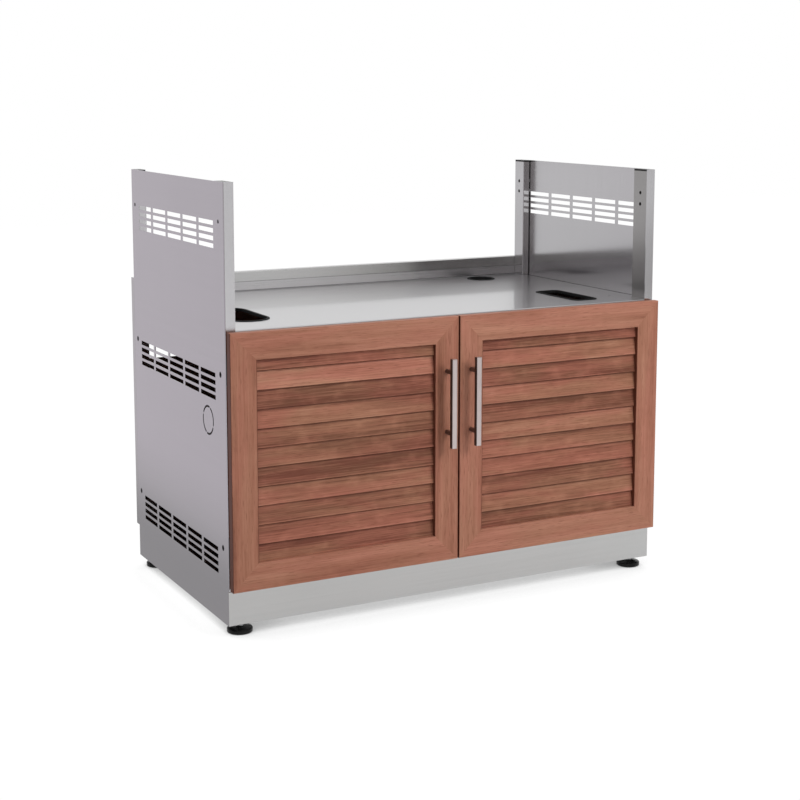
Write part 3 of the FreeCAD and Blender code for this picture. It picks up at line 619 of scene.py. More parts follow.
@dataclass(frozen=True)
class StreakyWood:
    """Reddish-brown satin wood with long soft bands, fine fibres, pale flecks and short dark pores
    along the grain.

    The tone runs from dark to light, lift makes a board lighter, and the hue drifts between red
    and olive. The sides of a stile, given by its middle and half its width, carry painted shade. A
    louvred panel gives each slat a tone of its own.
    """

    name: str
    grain: Axis
    start: Point
    lift: float = 0.0
    banding: float = 1.15
    drift: float = 0.45
    fibre: float = 0.55
    fleck: float = 0.10
    sides: Optional[Pair] = None
    slats: Optional[Slats] = None
    dark: Colour = (0.170, 0.058, 0.034)
    middle: Colour = (0.385, 0.155, 0.098)
    light: Colour = (0.540, 0.245, 0.165)
    tone_stops: tuple[float, float, float] = (0.10, 0.52, 0.95)
    # Dark colour of the pores, also the colour of painted shade on stile sides and under slat
    # noses.
    stain: Colour = (0.115, 0.030, 0.014)
    red: Colour = (1.07, 0.96, 0.98)
    olive: Colour = (0.96, 1.05, 0.97)
    side_skin: float = 0.9 * MM
    side_stain: float = 0.95
    band_noise: Layer = Layer(2.2, 42.0, detail=4.0, roughness=0.6, warp=0.35)
    fibre_noise: Layer = Layer(9.0, 420.0, detail=3.0, roughness=0.6)
    pore_noise: Layer = Layer(38.0, 900.0, detail=1.0)
    fleck_noise: Layer = Layer(24.0, 30.0)
    hue_noise: Layer = Layer(4.5, 24.0, detail=3.0, warp=0.5)
    pore_range: Pair = (0.60, 0.72)
    fleck_range: Pair = (0.45, 0.85)
    hue_range: Pair = (0.35, 0.65)
    pore_stain: float = 0.45
    roughness: float = 0.50
    fibre_rough: float = 0.16
    pore_rough: float = 0.08
    fibre_height: float = 0.6
    relief: Pair = (0.10, 0.5 * MM)
    shine: float = 0.25

    def material(self) -> bpy.types.Material:
        """Make the material: bands, fibres, pores and flecks are noises drawn out along the grain.

        Returns:
            The material.
        """
        made, sh = new_material(self.name, self.middle)
        layers = (self.band_noise, self.fibre_noise, self.pore_noise, self.fleck_noise,
                  self.hue_noise)
        bands, fibres, pores, flecks, hue = (
            layer.read(sh, self.grain, self.start) for layer in layers)
        tone = bands.sway(self.banding) + fibres.sway(self.fibre) + (NOISE_MIDDLE + self.lift)
        tone = tone + flecks.between(*self.fleck_range) * self.fleck
        if self.slats:
            tone = tone + self.slats.tone(sh)
        stops = list(zip(self.tone_stops, (self.dark, self.middle, self.light)))
        cast = sh.mix(hue.between(*self.hue_range), self.red, self.olive)
        colour = sh.mix(self.drift, sh.ramp(stops, tone), cast, "MULTIPLY")
        pore = pores.between(*self.pore_range)
        colour = sh.mix(pore * self.pore_stain, colour, self.stain)
        # Painted shade on the sides of a stile.
        if self.sides:
            middle, half = self.sides
            side = sh.outside(middle, half - self.side_skin)
            colour = sh.mix(side * self.side_stain, colour, self.stain)
        if self.slats:
            # Painted shade under each slat's nose.
            colour = sh.mix(self.slats.under_nose(sh), colour, self.stain)
        height = fibres * self.fibre_height + (1.0 - pore) * (1.0 - self.fibre_height)
        rough = self.roughness + fibres.sway(self.fibre_rough) + pore * self.pore_rough
        sh.close(sh.surface(Base_Color=colour, Roughness=rough,
                            Normal=sh.bump(height, *self.relief), Specular_IOR_Level=self.shine))
        return made


# Meshes


def grid_faces(rows: int, columns: int) -> np.ndarray:
    """Quads of a grid that closes on itself along its columns.

    Args:
        rows: number of rows of points.
        columns: number of points in a row, anticlockwise seen from the end of the last row.

    Returns:
        Four point numbers a quad, in the order that faces out.
    """
    row, column = np.meshgrid(np.arange(rows - 1), np.arange(columns), indexing="ij")
    right = (column + 1) % columns
    quads = np.stack([row * columns + column, row * columns + right,
                      (row + 1) * columns + right, (row + 1) * columns + column], axis=-1)
    return quads.reshape(-1, 4)


def capped(points: np.ndarray) -> Surface:
    """Close a tube of points at both ends with flat caps.

    Args:
        points: rows by columns by three, rows from the lower end to the upper end.

    Returns:
        All vertices, the quads and the two caps, which point outwards.
    """
    rows, columns = points.shape[:2]
    around = np.arange(columns)
    caps = (around[::-1], around + (rows - 1) * columns)
    return points.reshape(-1, 3), grid_faces(rows, columns), caps


def looped(points: np.ndarray) -> Surface:
    """Close a grid of points on itself both ways.

    Args:
        points: rows by columns by three.

    Returns:
        All vertices, the quads, which point outwards, and no caps.
    """
    rows, columns = points.shape[:2]
    return points.reshape(-1, 3), grid_faces(rows + 1, columns) % (rows * columns), ()


def groups(points: np.ndarray, axis: Axis, gap: float) -> list[np.ndarray]:
    """Split points wherever an axis has an empty stretch longer than a gap.

    Args:
        points: rows of three coordinates.
        axis: the axis along which the points are sorted.
        gap: the longest empty stretch within a group.

    Returns:
        The points of each group.
    """
    order = points[np.argsort(points[:, axis.value])]
    breaks = np.nonzero(np.diff(order[:, axis.value]) > gap)[0] + 1
    return np.split(order, breaks)


class MeshBuilder:
    """Collects surfaces and turns them into one mesh object."""

    def __init__(self) -> None:
        """Start with nothing."""
        self.points: list[np.ndarray] = []
        self.faces: list[list[int]] = []
        self.count = 0

    def add(self, points: np.ndarray, quads: np.ndarray, caps: Sequence[np.ndarray] = ()) -> None:
        """Take in one surface.

        Args:
            points: its vertices.
            quads: four vertex numbers a face.
            caps: vertex numbers of each further face.
        """
        self.points.append(points)
        self.faces.extend((quads + self.count).tolist())
        self.faces.extend((cap + self.count).tolist() for cap in caps)
        self.count += len(points)

    def build(self, name: str, material: bpy.types.Material,
              smooth_below: float = 30.0) -> bpy.types.Object:
        """Make the object.

        Args:
            name: name of the piece.
            material: its finish.
            smooth_below: faces that meet at less than this angle, in degrees, are shaded as one
                curve.

        Returns:
            The object, linked to the scene.
        """
        mesh = bpy.data.meshes.new(name)
        mesh.from_pydata(np.concatenate(self.points), [], self.faces)
        mesh.update()
        mesh.materials.append(material)
        mesh.shade_smooth()
        mesh.set_sharp_from_angle(angle=math.radians(smooth_below))
        piece = bpy.data.objects.new(name, mesh)
        bpy.context.scene.collection.objects.link(piece)
        return piece


def dress(frame: dict[str, Any], node: str, material: bpy.types.Material) -> None:
    """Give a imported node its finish.

    Args:
        frame: the loaded frame.
        node: name of the node.
        material: its finish.
    """
    piece = frame["nodes"][node]
    piece.data.materials.clear()
    piece.data.materials.append(material)
    LOG.info("dressed %s in %s", node, material.name)


def strip(node: str) -> Pair:
    """Middle of a node across the cabinet, and half its width."""
    low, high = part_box(node)
    return (low.x + high.x) / 2, (high.x - low.x) / 2


# Sub-assemblies


@dataclass
class ThreadedStem:
    """Stem of a levelling foot: a threaded rod with the hexagon that a spanner turns."""

    node: str
    body: str
    radius: float = 5.0 * MM
    hexagon_height: float = 5.0 * MM
    flats: int = 6
    chamfer_start: float = 1.03
    chamfer_slope: float = math.sqrt(3.0)
    pitch: float = 1.5 * MM
    thread_depth: float = 0.75 * MM
    around: int = 32
    hexagon_around: int = 96
    rows_per_turn: int = 6
    hexagon_rows: int = 7
    smooth_below: float = 40.0

    def thread(self, low: Vector, high: Vector) -> Surface:
        """Rod whose radius falls from crest to root and back once each pitch, the crest climbing
        one pitch a turn; the groove runs out within one pitch of both ends.

        Args:
            low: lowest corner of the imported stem.
            high: highest corner.

        Returns:
            The rod's surface.
        """
        z0, z1 = low.z + self.hexagon_height, high.z
        rows = int(math.ceil((z1 - z0) / self.pitch * self.rows_per_turn)) + 1
        z = np.linspace(z0, z1, rows)[:, None]
        turn = np.linspace(0.0, 1.0, self.around, endpoint=False)[None, :]
        ridge = 1.0 - np.abs(2.0 * np.mod((z - z0) / self.pitch - turn, 1.0) - 1.0)
        run_out = np.clip(np.minimum(z - z0, z1 - z) / self.pitch, 0.0, 1.0)
        radius = self.radius - self.thread_depth * (1.0 - ridge) * run_out
        return self._tube((low + high) / 2, radius, turn, z)

    def hexagon(self, low: Vector, high: Vector) -> Surface:
        """Hexagon with rounded-off corners: the distance to its flats, cut by a cone at both
        faces.

        Args:
            low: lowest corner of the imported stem.
            high: highest corner.

        Returns:
            The hexagon's surface.
        """
        to_flat = min(high.x - low.x, high.y - low.y) / 2
        top = low.z + self.hexagon_height
        turn = np.linspace(0.0, 1.0, self.hexagon_around, endpoint=False)[None, :]
        z = np.linspace(low.z, top, self.hexagon_rows)[:, None]
        off_flat = np.mod(turn * self.flats, 1.0) - 0.5
        flat = to_flat / np.cos(off_flat * FULL_TURN / self.flats)
        depth = np.minimum(z - low.z, top - z)
        cone = to_flat * self.chamfer_start + depth * self.chamfer_slope
        return self._tube((low + high) / 2, np.minimum(flat, cone), turn, z)

    @staticmethod
    def _tube(centre: Vector, radius: np.ndarray, turn: np.ndarray, z: np.ndarray) -> Surface:
        """Closed tube about an upright axis.

        Args:
            centre: a point of the axis.
            radius: radius at each row and column.
            turn: part of a full turn at each column.
            z: height of each row.

        Returns:
            The tube's surface.
        """
        angle = turn * FULL_TURN
        return capped(np.stack([centre.x + radius * np.cos(angle),
                                centre.y + radius * np.sin(angle),
                                np.broadcast_to(z, radius.shape)], axis=-1))

    def build(self, material: bpy.types.Material) -> None:
        """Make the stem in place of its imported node.

        Args:
            material: its finish.
        """
        low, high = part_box(self.node)
        builder = MeshBuilder()
        builder.add(*self.thread(low, high))
        builder.add(*self.hexagon(low, high))
        piece = builder.build("threaded_" + self.node, material, self.smooth_below)
        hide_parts(self.node)
        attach(piece, self.body)
        LOG.info("built %s", piece.name)


@dataclass
class Edging:
    """Rubber edging of a hole in the deck: a rounded lip on the rim and a thin skirt down through
    the hole."""

    node: str
    corner: float
    lap: float = 4.0 * MM
    lip: float = 1.6 * MM
    skirt: Pair = (-0.2 * MM, -1.8 * MM)
    round_lip: float = 1.1 * MM
    round_tail: float = 0.5 * MM
    corner_points: int = 20
    arc_points: int = 6
    smooth_below: float = 50.0

    def profile(self, low: float, high: float) -> np.ndarray:
        """Closed outline of the rubber, anticlockwise: four rounded corners and the seat on the
        deck. A corner's arc is a quarter circle about a point one radius inside both its sides.

        Args:
            low: height of the skirt's end.
            high: height of the lip's top.

        Returns:
            Rows of distance outwards from the hole's edge, and height.
        """
        outer, inner = self.skirt
        corners = np.array([(self.lap, high), (inner, high), (inner, low), (outer, low)])
        radius = np.array([self.round_lip] * 2 + [self.round_tail] * 2)[:, None, None]
        quarter = np.linspace(0.0, 1.0, self.arc_points)[None, :]
        angle = (np.arange(4)[:, None] + quarter) * QUARTER_TURN
        out = np.stack([np.cos(angle), np.sin(angle)], axis=-1)
        arcs = corners[:, None, :] + radius * (out - CORNER_SIGNS[:, None, :])
        seat = np.array([(outer, high - self.lip), (self.lap, high - self.lip)])
        return np.concatenate([arcs.reshape(-1, 2), seat])

    def outline(self, half: Pair) -> tuple[np.ndarray, np.ndarray]:
        """Edge of the hole, a rectangle with round corners, anticlockwise seen from above.

        Args:
            half: half of the hole's width and depth.

        Returns:
            Points of the edge and the outward direction at each.
        """
        step = (np.arange(self.corner_points) + 0.5) / self.corner_points
        angle = (np.arange(4)[:, None] + step[None, :]) * QUARTER_TURN
        out = np.stack([np.cos(angle), np.sin(angle)], axis=-1)
        edge = CORNER_SIGNS[:, None, :] * (np.array(half) - self.corner) + out * self.corner
        return edge.reshape(-1, 2), out.reshape(-1, 2)

    def build(self, material: bpy.types.Material) -> None:
        """Sweep the profile round the outline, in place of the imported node.

        Args:
            material: its finish.
        """
        low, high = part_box(self.node)
        centre = (low + high) / 2
        half = ((high.x - low.x) / 2 - self.lap, (high.y - low.y) / 2 - self.lap)
        edge, out = self.outline(half)
        profile = self.profile(low.z, high.z)
        flat = edge[None] + profile[:, :1, None] * out[None] + np.array([centre.x, centre.y])
        height = np.broadcast_to(profile[:, 1:, None], flat.shape[:2] + (1,))
        builder = MeshBuilder()
        builder.add(*looped(np.concatenate([flat, height], axis=-1)))
        piece = builder.build("rubber_" + self.node, material, self.smooth_below)
        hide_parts(self.node)
        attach(piece, "carcass")
        LOG.info("built %s", piece.name)


@dataclass
class CrossScrews:
    """Pan-head screws of one node, their heads towards the back: a low dome with a cross recess on
    a plain shank.

    The rim, the arms' half width and length, their soft edge, the recess and the inmost ring are
    shares of the head; the point's radius and length are shares of the shank.
    """

    node: str
    body: str
    head: float
    shank: float = 2.0 * MM
    point: Pair = (0.6, 0.4)
    rim: float = 0.35
    arm: Pair = (0.17, 0.64)
    soft: float = 0.07
    recess: float = 0.6
    inmost: float = 0.02
    around: int = 96
    rings: int = 24
    gap: float = 12.0 * MM
    smooth_below: float = 35.0

    def places(self) -> list[np.ndarray]:
        """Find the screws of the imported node.

        Returns:
            The points of each screw.
        """
        mesh = bpy.data.objects[self.node].data
        points = np.empty(len(mesh.vertices) * 3)
        mesh.vertices.foreach_get("co", points)
        rows = groups(points.reshape(-1, 3), Axis.Z, self.gap)
        return [screw for row in rows for screw in groups(row, Axis.X, self.gap)]

    def screw(self, low: np.ndarray, high: np.ndarray) -> Surface:
        """One screw: rings from the tip up the shank, under the head, up its rim and in over the
        dome, whose height falls with the square of the distance from the axis and is let down
        inside the two crossing arms.

        Args:
            low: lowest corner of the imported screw.
            high: highest corner.

        Returns:
            The screw's surface.
        """
        outer = (high[0] - low[0]) / 2
        seat = high[1] - self.head
        share = np.linspace(1.0, self.inmost, self.rings)[:, None]
        angle = np.linspace(0.0, FULL_TURN, self.around, endpoint=False)[None, :]
        across, up = np.abs(share * np.cos(angle)), np.abs(share * np.sin(angle))
        wide, long = self.arm
        arms = (np.clip((wide - np.minimum(across, up)) / self.soft, 0.0, 1.0)
                * np.clip((long - np.maximum(across, up)) / self.soft, 0.0, 1.0))
        dome = self.rim + (1.0 - self.rim) * (1.0 - share ** 2) - self.recess * arms
        thin, taper = (part * self.shank for part in self.point)
        stem = np.array([(thin, low[1]), (self.shank, low[1] + taper), (self.shank, seat),
                         (outer, seat)])
        radius = np.concatenate([stem[:, :1], outer * share])
        depth = np.concatenate([np.broadcast_to(stem[:, 1:], (len(stem), self.around)),
                                seat + self.head * dome])
        middle = (low + high) / 2
        return capped(np.stack([middle[0] - radius * np.cos(angle), depth,
                                middle[2] + radius * np.sin(angle)], axis=-1))

    def build(self, material: bpy.types.Material) -> None:
        """Make all screws of the node as one piece.

        Args:
            material: their finish.
        """
        builder = MeshBuilder()
        for points in self.places():
            builder.add(*self.screw(points.min(axis=0), points.max(axis=0)))
        piece = builder.build("cross_" + self.node, material, self.smooth_below)
        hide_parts(self.node)
        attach(piece, self.body)
        LOG.info("built %s", piece.name)


@dataclass
class Viewpoint:
    """Camera at the photograph's viewing angle. Focal length is in picture widths."""

    place: Point = (-1.5908, -3.0380, 1.0756)
    turn: float = -27.755
    dip: float = 7.855
    focal: float = 1559.7 / 800.0
    shift_y: float = -0.12
    sensor: float = 36.0

    def build(self) -> None:
        """Make the camera and use it."""
        data = bpy.data.cameras.new("viewpoint")
        data.sensor_width = self.sensor
        data.lens = self.focal * self.sensor
        data.shift_y = self.shift_y
        camera = bpy.data.objects.new("viewpoint", data)
        camera.location = self.place
        camera.rotation_euler = (math.radians(90.0 - self.dip), 0.0, math.radians(self.turn))
        bpy.context.scene.collection.objects.link(camera)
        bpy.context.scene.camera = camera
        LOG.info("camera set")


@dataclass(frozen=True)
class Card:
    """Plain card that only the reflections in metal see, its tone running evenly between stops
    from its first side to its second. A side is a pair of corners."""

    name: str
    first: tuple[Point, Point]
    second: tuple[Point, Point]
    stops: Stops
    strength: float = 1.0

    def build(self) -> None:
        """Make the card."""
        made, sh = new_material(self.name, self.stops[0][1])
        builder = MeshBuilder()
        builder.add(np.array([*self.first, self.second[1], self.second[0]]), ONE_QUAD)
        start, end = (Vector(side[0]) for side in (self.first, self.second))
        run = end - start
        share: Term = -start.dot(run) / run.length_squared
        for axis, step in zip(Axis, run):
            share = sh.along(axis) * (step / run.length_squared) + share
        sh.close(sh.node("ShaderNodeEmission", None,
                         {"Color": sh.ramp(self.stops, share), "Strength": self.strength}))
        card = builder.build(self.name, made)
        for ray in ("camera", "diffuse", "shadow", "transmission"):
            setattr(card, "visible_" + ray, False)


def even(colour: Colour) -> Stops:
    """Stops of a card that has one tone."""
    return (0.0, colour), (1.0, colour)


@dataclass
class Studio:
    """Pale floor, white surroundings, a soft lamp and the cards that the metal mirrors."""

    floor_reach: float = 9.0
    floor_drop: float = 0.4 * MM
    floor_tone: float = 0.62
    floor_mirrored: float = 0.58
    floor_white: float = 1.02
    floor_shade: float = 0.80
    floor_contact: float = 0.14
    floor_open: Pair = (0.0, 0.74)
    floor_samples: int = 8
    sky_light: float = 0.55
    key_power: float = 73.0
    key_place: Point = (1.5, -3.5, 2.8)
    key_aim: Point = (0.0, 0.0, 0.5)
    key_size: float = 1.6
    cards: tuple[Card, ...] = (
        Card("card_left",
             ((-0.62, -0.6, 0.0), (-0.62, 1.1, 0.0)),
             ((-0.62, -0.6, 1.4), (-0.62, 1.1, 1.4)),
             ((0.0, (0.43, 0.42, 0.43)), (0.024, (0.49, 0.475, 0.49)),
              (0.054, (0.57, 0.55, 0.57)), (0.084, (0.68, 0.65, 0.68)),
              (0.16, (0.770, 0.725, 0.775)), (1.0, (0.770, 0.735, 0.775)))),
        Card("card_left_low",
             ((-0.62, -0.6, 0.004), (-0.62, 1.1, 0.004)),
             ((-0.51, -0.6, 0.004), (-0.51, 1.1, 0.004)), even((0.46, 0.45, 0.46))),
        Card("card_upper_right",
             ((0.9, -3.2, 0.8), (0.9, -3.2, 4.5)),
             ((4.0, -3.2, 0.8), (4.0, -3.2, 4.5)),
             ((0.0, (1.0, 1.0, 1.0)), (0.145, (0.98, 0.97, 0.96)),
              (0.215, (0.92, 0.90, 0.88)), (0.30, (0.48, 0.46, 0.44)),
              (0.45, (0.090, 0.080, 0.070)), (1.0, (0.04, 0.034, 0.030))), strength=1.5),
        Card("card_low_right",
             ((0.65, -0.9, 0.01), (1.85, -3.2, 0.01)),
             ((1.6, -0.9, 0.01), (2.9, -3.2, 0.01)), even((0.42, 0.41, 0.41))),
        Card("card_behind",
             ((-6.0, -2.6, 0.0), (-6.0, -2.6, 5.0)),
             ((0.05, -2.6, 0.0), (0.05, -2.6, 5.0)),
             ((0.0, (0.80, 0.77, 0.76)), (0.76, (0.80, 0.77, 0.76)),
              (0.81, (0.32, 0.29, 0.27)), (1.0, (0.32, 0.29, 0.27)))),
        Card("card_back_left",
             ((-3.0, 3.0, 0.8), (-3.0, 3.0, 4.0)),
             ((-0.5, 3.0, 0.8), (-0.5, 3.0, 4.0)), even((0.60, 0.59, 0.58))),
        Card("card_far_right",
             ((2.6, -3.9, 0.012), (3.4, -3.3, 0.012)),
             ((6.2, -8.7, 0.012), (7.0, -8.1, 0.012)),
             ((0.0, (0.38, 0.37, 0.36)), (0.21, (0.40, 0.39, 0.38)),
              (0.62, (0.54, 0.53, 0.52)), (1.0, (0.72, 0.71, 0.70)))),
    )

    def build(self) -> None:
        """Make the floor, the world, the lamp and the cards."""
        self.floor()
        self.world()
        self.lamp()
        for card in self.cards:
            card.build()
        bpy.context.scene.view_settings.view_transform = "Standard"
        LOG.info("studio set")

    @staticmethod
    def seen(sh: Shader) -> Val:
        """Tell rays that show the background from rays that light the object.

        Args:
            sh: writer of the floor's or the world's tree.

        Returns:
            One from the camera, in reflections and through gaps, else zero.
        """
        camera, glossy, passing = (sh.node("ShaderNodeLightPath", output=f"Is {ray} Ray")
                                   for ray in ("Camera", "Glossy", "Transmission"))
        return camera.largest(glossy).largest(passing)

    def floor(self) -> None:
        """Plain square floor. The camera sees it white, darker only where the cabinet stands close
        above it; light and reflections meet a pale matt floor with a glow."""
        corners = np.array([(-1, -1), (1, -1), (1, 1), (-1, 1)]) * self.floor_reach
        points = np.column_stack([corners, np.full(4, -self.floor_drop)])
        made, sh = new_material("studio_floor", WHITE)
        lit = sh.node("ShaderNodeBsdfDiffuse", None,
                      {"Color": (*shaded(WHITE, self.floor_tone), 1.0)})
        glow = sh.node("ShaderNodeEmission", None,
                       {"Strength": self.seen(sh) * self.floor_mirrored})
        plain = sh.node("ShaderNodeAddShader", None, {0: lit, 1: glow})
        openness = sh.node("ShaderNodeAmbientOcclusion", {"samples": self.floor_samples},
                           {"Distance": self.floor_contact}, "AO")
        strength = (openness.between(*self.floor_open) * self.floor_shade
                    + (self.floor_white - self.floor_shade))
        shown = sh.node("ShaderNodeEmission", None, {"Strength": strength})
        camera = sh.node("ShaderNodeLightPath", output="Is Camera Ray")
        sh.close(sh.node("ShaderNodeMixShader", None, {0: camera, 1: plain, 2: shown}))
        builder = MeshBuilder()
        builder.add(points, ONE_QUAD)
        builder.build("studio_floor", made)

    def world(self) -> None:
        """White where it is seen, dimmer as a light."""
        world = bpy.data.worlds.new("studio")
        world.use_nodes = True
        bpy.context.scene.world = world
        sh = Shader(world.node_tree)
        strength = self.sky_light + self.seen(sh) * (1.0 - self.sky_light)
        sky = sh.node("ShaderNodeBackground", None,
                      {"Color": (*WHITE, 1.0), "Strength": strength})
        sh.node("ShaderNodeOutputWorld", None, {"Surface": sky})

    def lamp(self) -> None:
        """Soft square lamp that faces the cabinet and that no metal mirrors."""
        data = bpy.data.lights.new("key_lamp", "AREA")
        data.size = self.key_size
        data.energy = self.key_power
        lamp = bpy.data.objects.new("key_lamp", data)
        lamp.location = self.key_place
        aim = Vector(self.key_aim) - Vector(self.key_place)
        lamp.rotation_euler = aim.to_track_quat("-Z", "Y").to_euler()
        lamp.visible_glossy = False
        bpy.context.scene.collection.objects.link(lamp)


@dataclass
class Carcass:
    """Sheet-metal body with its brackets, feet and mouldings.

    Each sheet has the tone and the brushing that it shows in the photograph. The cuts are the
    knock-out and the lower bolt holes of a side panel.
    """

    frame: dict[str, Any]
    steel: Colour = (0.47, 0.462, 0.475)
    deck_steel: Colour = (0.51, 0.504, 0.516)
    # Sheet steel painted darker for the right front post: painted shade and the dark it mirrors.
    post_steel: Colour = (0.33, 0.322, 0.32)
    plinth_steel: Colour = (0.455, 0.457, 0.455)
    zinc: Colour = (0.50, 0.51, 0.52)
    black: Colour = (0.003, 0.003, 0.003)
    rubber: Colour = (0.008, 0.008, 0.008)
    drawn_out: float = 0.7
    # Width of the painted shade along the deck's side edges.
    deck_edge: float = 1.5 * MM
    upstand: float = 21.7 * MM
    screw_head: float = 2.0 * MM
    edgings: tuple[Edging, ...] = (
        Edging("hole_edging_left", 40.0 * MM),
        Edging("hole_edging_right", 14.0 * MM),
        Edging("cable_grommet", 30.0 * MM),
    )
    # Cuts ringed with painted shade: the knock-out and the bolt holes.
    cuts: tuple[Cut, ...] = (
        Cut(-159.0 * MM, 421.0 * MM, 28.0 * MM, 2.3 * MM, 3.5 * MM, math.radians(20.0)),
        Cut(-229.4 * MM, 524.0 * MM, 4.8 * MM, 1.3 * MM),
        Cut(-229.4 * MM, 176.0 * MM, 4.8 * MM, 1.3 * MM),
        Cut(274.0 * MM, 524.0 * MM, 4.8 * MM, 1.3 * MM),
        Cut(274.0 * MM, 176.0 * MM, 4.8 * MM, 1.3 * MM),
    )

    def sheets(self) -> list[tuple[BrushedSteel, tuple[str, ...]]]:
        """List the brushed sheets.

        Returns:
            Each finish and the nodes that have it.
        """
        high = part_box("grill_shelf")[1]
        return [
            (BrushedSteel("steel_brushed_upright", self.steel, Axis.Y, drawn_out=self.drawn_out),
             ("front_post_left", "rear_post_left")),
            (BrushedSteel("steel_brushed_outside", self.steel, Axis.Y, contrast=0.025,
                          drawn_out=self.drawn_out, cuts=self.cuts),
             ("side_panel_left",)),
            (BrushedSteel("steel_brushed_mirror", self.steel, Axis.Z, roughness=0.18,
                          drawn_out=0.9, turn=0.0, cuts=self.cuts),
             ("side_panel_right", "rear_post_right")),
            # The right front post has the darker, shaded copy of the sheet steel.
            (BrushedSteel("steel_brushed_post", self.post_steel, Axis.Y, roughness=0.22,
                          drawn_out=self.drawn_out),
             ("front_post_right",)),
            (BrushedSteel("steel_brushed_facing", self.plinth_steel, Axis.X,
                          drawn_out=self.drawn_out),
             ("back_panel", "toe_kick", "rear_plinth")),
            (BrushedSteel("steel_brushed_level", self.steel, Axis.X, roughness=0.11),
             ("floor_panel",)),
            (BrushedSteel("steel_brushed_deck", self.deck_steel, Axis.X, roughness=0.33,
                          edge_tone=0.85, gloss=0.55,
                          # painted shade lines at the fold and the top edge of the upturn
                          upturn=Upturn(high.z - self.upstand, high.z),
                          # painted shade along the deck's side edges
                          dark_sides=(0.0, high.x - self.deck_edge)),
             ("grill_shelf",)),
        ]

    def build(self) -> None:
        """Dress the sheets, brackets and mouldings, and build the finer pieces."""
        ends = [f"_{place}{side.suffix}" for place in ("front", "rear") for side in Side]
        hinges = [node + side.suffix for side in Side
                  for node in ("hinge_frame_leaves", "hinge_pins", "hinge_frame_screws")]
        plated = PlatedSteel("plated_steel", self.zinc).material()
        dark = PlatedSteel("dark_steel", HINGE_STEEL, HINGE_ROUGHNESS).material()
        black = BlackMoulding("black_moulding", self.black, roughness=0.26, shine=0.15).material()
        rubber = BlackMoulding("black_rubber", self.rubber, roughness=0.7, shine=0.2).material()
        dressed = [(finish.material(), nodes) for finish, nodes in self.sheets()] + [
            (dark, hinges),
            (black, ["post_caps", "magnetic_catch"] + ["foot_pad" + end for end in ends]),
            (plated, ["shelf_supports", "shelf_stiffeners", "foot_brackets", "foot_nuts",
                      "catch_plates"]),
        ]
        for material, nodes in dressed:
            for node in nodes:
                dress(self.frame, node, material)
        CrossScrews("back_panel_screws", "carcass", self.screw_head).build(plated)
        for edging in self.edgings:
            edging.build(rubber)
        for end in ends:
            ThreadedStem("foot_stem" + end, "foot" + end).build(plated)


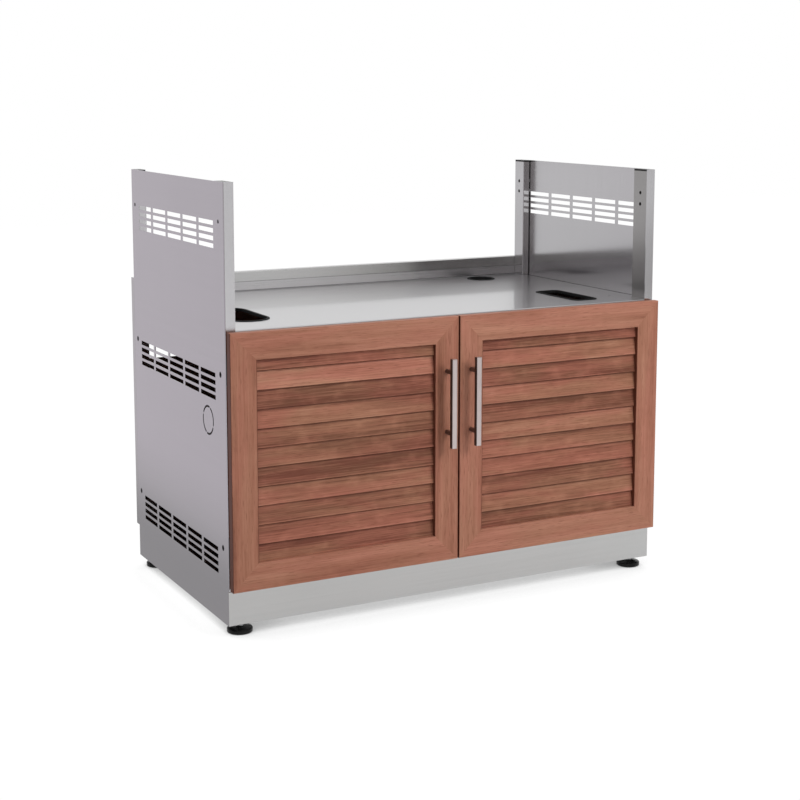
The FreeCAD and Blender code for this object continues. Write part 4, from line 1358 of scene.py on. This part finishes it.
@dataclass
class LouvredDoor:
    """Mitred wooden door with fixed slats and a bar handle.

    The steps set where the grain of each board starts, so that no two boards look alike.
    """

    frame: dict[str, Any]
    side: Side
    tones: tuple[float, ...]
    lift: float
    slat_pitch: float = 38.6 * MM
    slat_start: float = 4.7 * MM
    rail_lift: float = 0.06
    right_start: float = 3.7
    stile_step: Point = (1.3, 0.7, 0.0)
    rail_step: Point = (0.0, 0.9, 2.1)
    slat_step: Point = (0.0, 5.0, 0.0)
    satin: Colour = (0.515, 0.445, 0.435)
    # The bar's satin steel painted darker and browner for the posts: painted shade and mirrored
    # wood.
    post_satin: Colour = (0.22, 0.19, 0.185)
    satin_roughness: float = 0.30
    # Width and tone of the painted shade on the sides of a handle bar.
    bar_edge: float = 1.0 * MM
    bar_side_tone: float = 0.22
    zinc: Colour = (0.52, 0.52, 0.53)
    rubber: Colour = (0.015, 0.015, 0.015)
    rubber_roughness: float = 0.6
    screw_head: float = 2.4 * MM

    def start(self, step: Point, times: int) -> Point:
        """Find where the grain of a board starts.

        Args:
            step: shift from one board of its kind to the next.
            times: number of the board.

        Returns:
            The shift of the board's noises.
        """
        seed = self.right_start if self.side is Side.RIGHT else 0.0
        x, y, z = (value * times for value in step)
        return x + seed, y, z + seed

    def woods(self) -> dict[str, StreakyWood]:
        """List the boards.

        Returns:
            The finish of each wooden node, by its name.
        """
        end = self.side.suffix
        found: dict[str, StreakyWood] = {}
        for k, node in enumerate(("door_outer_stile" + end, "door_inner_stile" + end)):
            found[node] = StreakyWood(node + "_wood", Axis.Z, self.start(self.stile_step, k),
                                      self.lift, sides=strip(node))
        for k, node in enumerate(("door_top_rail" + end, "door_bottom_rail" + end)):
            found[node] = StreakyWood(node + "_wood", Axis.X, self.start(self.rail_step, k),
                                      self.lift + self.rail_lift)
        node = "door_louvres" + end
        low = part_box(node)[0]
        slats = Slats(low.z - self.slat_start, self.slat_pitch, low.y, self.tones)
        found[node] = StreakyWood(node + "_wood", Axis.X, self.start(self.slat_step, 1),
                                  banding=0.9, drift=1.0, fibre=0.85, fleck=0.20, slats=slats)
        return found

    def build(self) -> None:
        """Dress the frame, the slats, the handle and the fittings, and build the screws."""
        end = self.side.suffix
        for node, wood in self.woods().items():
            dress(self.frame, node, wood.material())
        middle, half = strip("handle_bar" + end)
        satin = BrushedSteel("satin_bar" + end, self.satin, Axis.Z, self.satin_roughness,
                             dark_sides=(middle, half - self.bar_edge),
                             side_tone=self.bar_side_tone).material()
        # The posts get the darker, shaded copy of the satin.
        posts = BrushedSteel("satin_posts" + end, self.post_satin, Axis.Z,
                             self.satin_roughness).material()
        plated = PlatedSteel("door_fittings" + end, self.zinc).material()
        dark = PlatedSteel("dark_hinges" + end, HINGE_STEEL, HINGE_ROUGHNESS).material()
        rubber = BlackMoulding("door_rubber" + end, self.rubber, self.rubber_roughness).material()
        for node, material in (("handle_bar", satin), ("handle_posts", posts),
                               ("strike_plate", plated), ("hinge_door_leaves", dark),
                               ("hinge_door_screws", dark), ("door_bumpers", rubber)):
            dress(self.frame, node + end, material)
        CrossScrews("handle_screws" + end, "door" + end, self.screw_head).build(plated)


def main() -> None:
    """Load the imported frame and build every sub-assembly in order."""
    logging.basicConfig(level=logging.INFO, format="%(message)s")
    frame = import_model()
    Viewpoint().build()
    Studio().build()
    Carcass(frame).build()
    LouvredDoor(frame, Side.LEFT, LEFT_TONES, lift=0.08).build()
    LouvredDoor(frame, Side.RIGHT, RIGHT_TONES, lift=0.15).build()


if __name__ == "__main__":
    main()
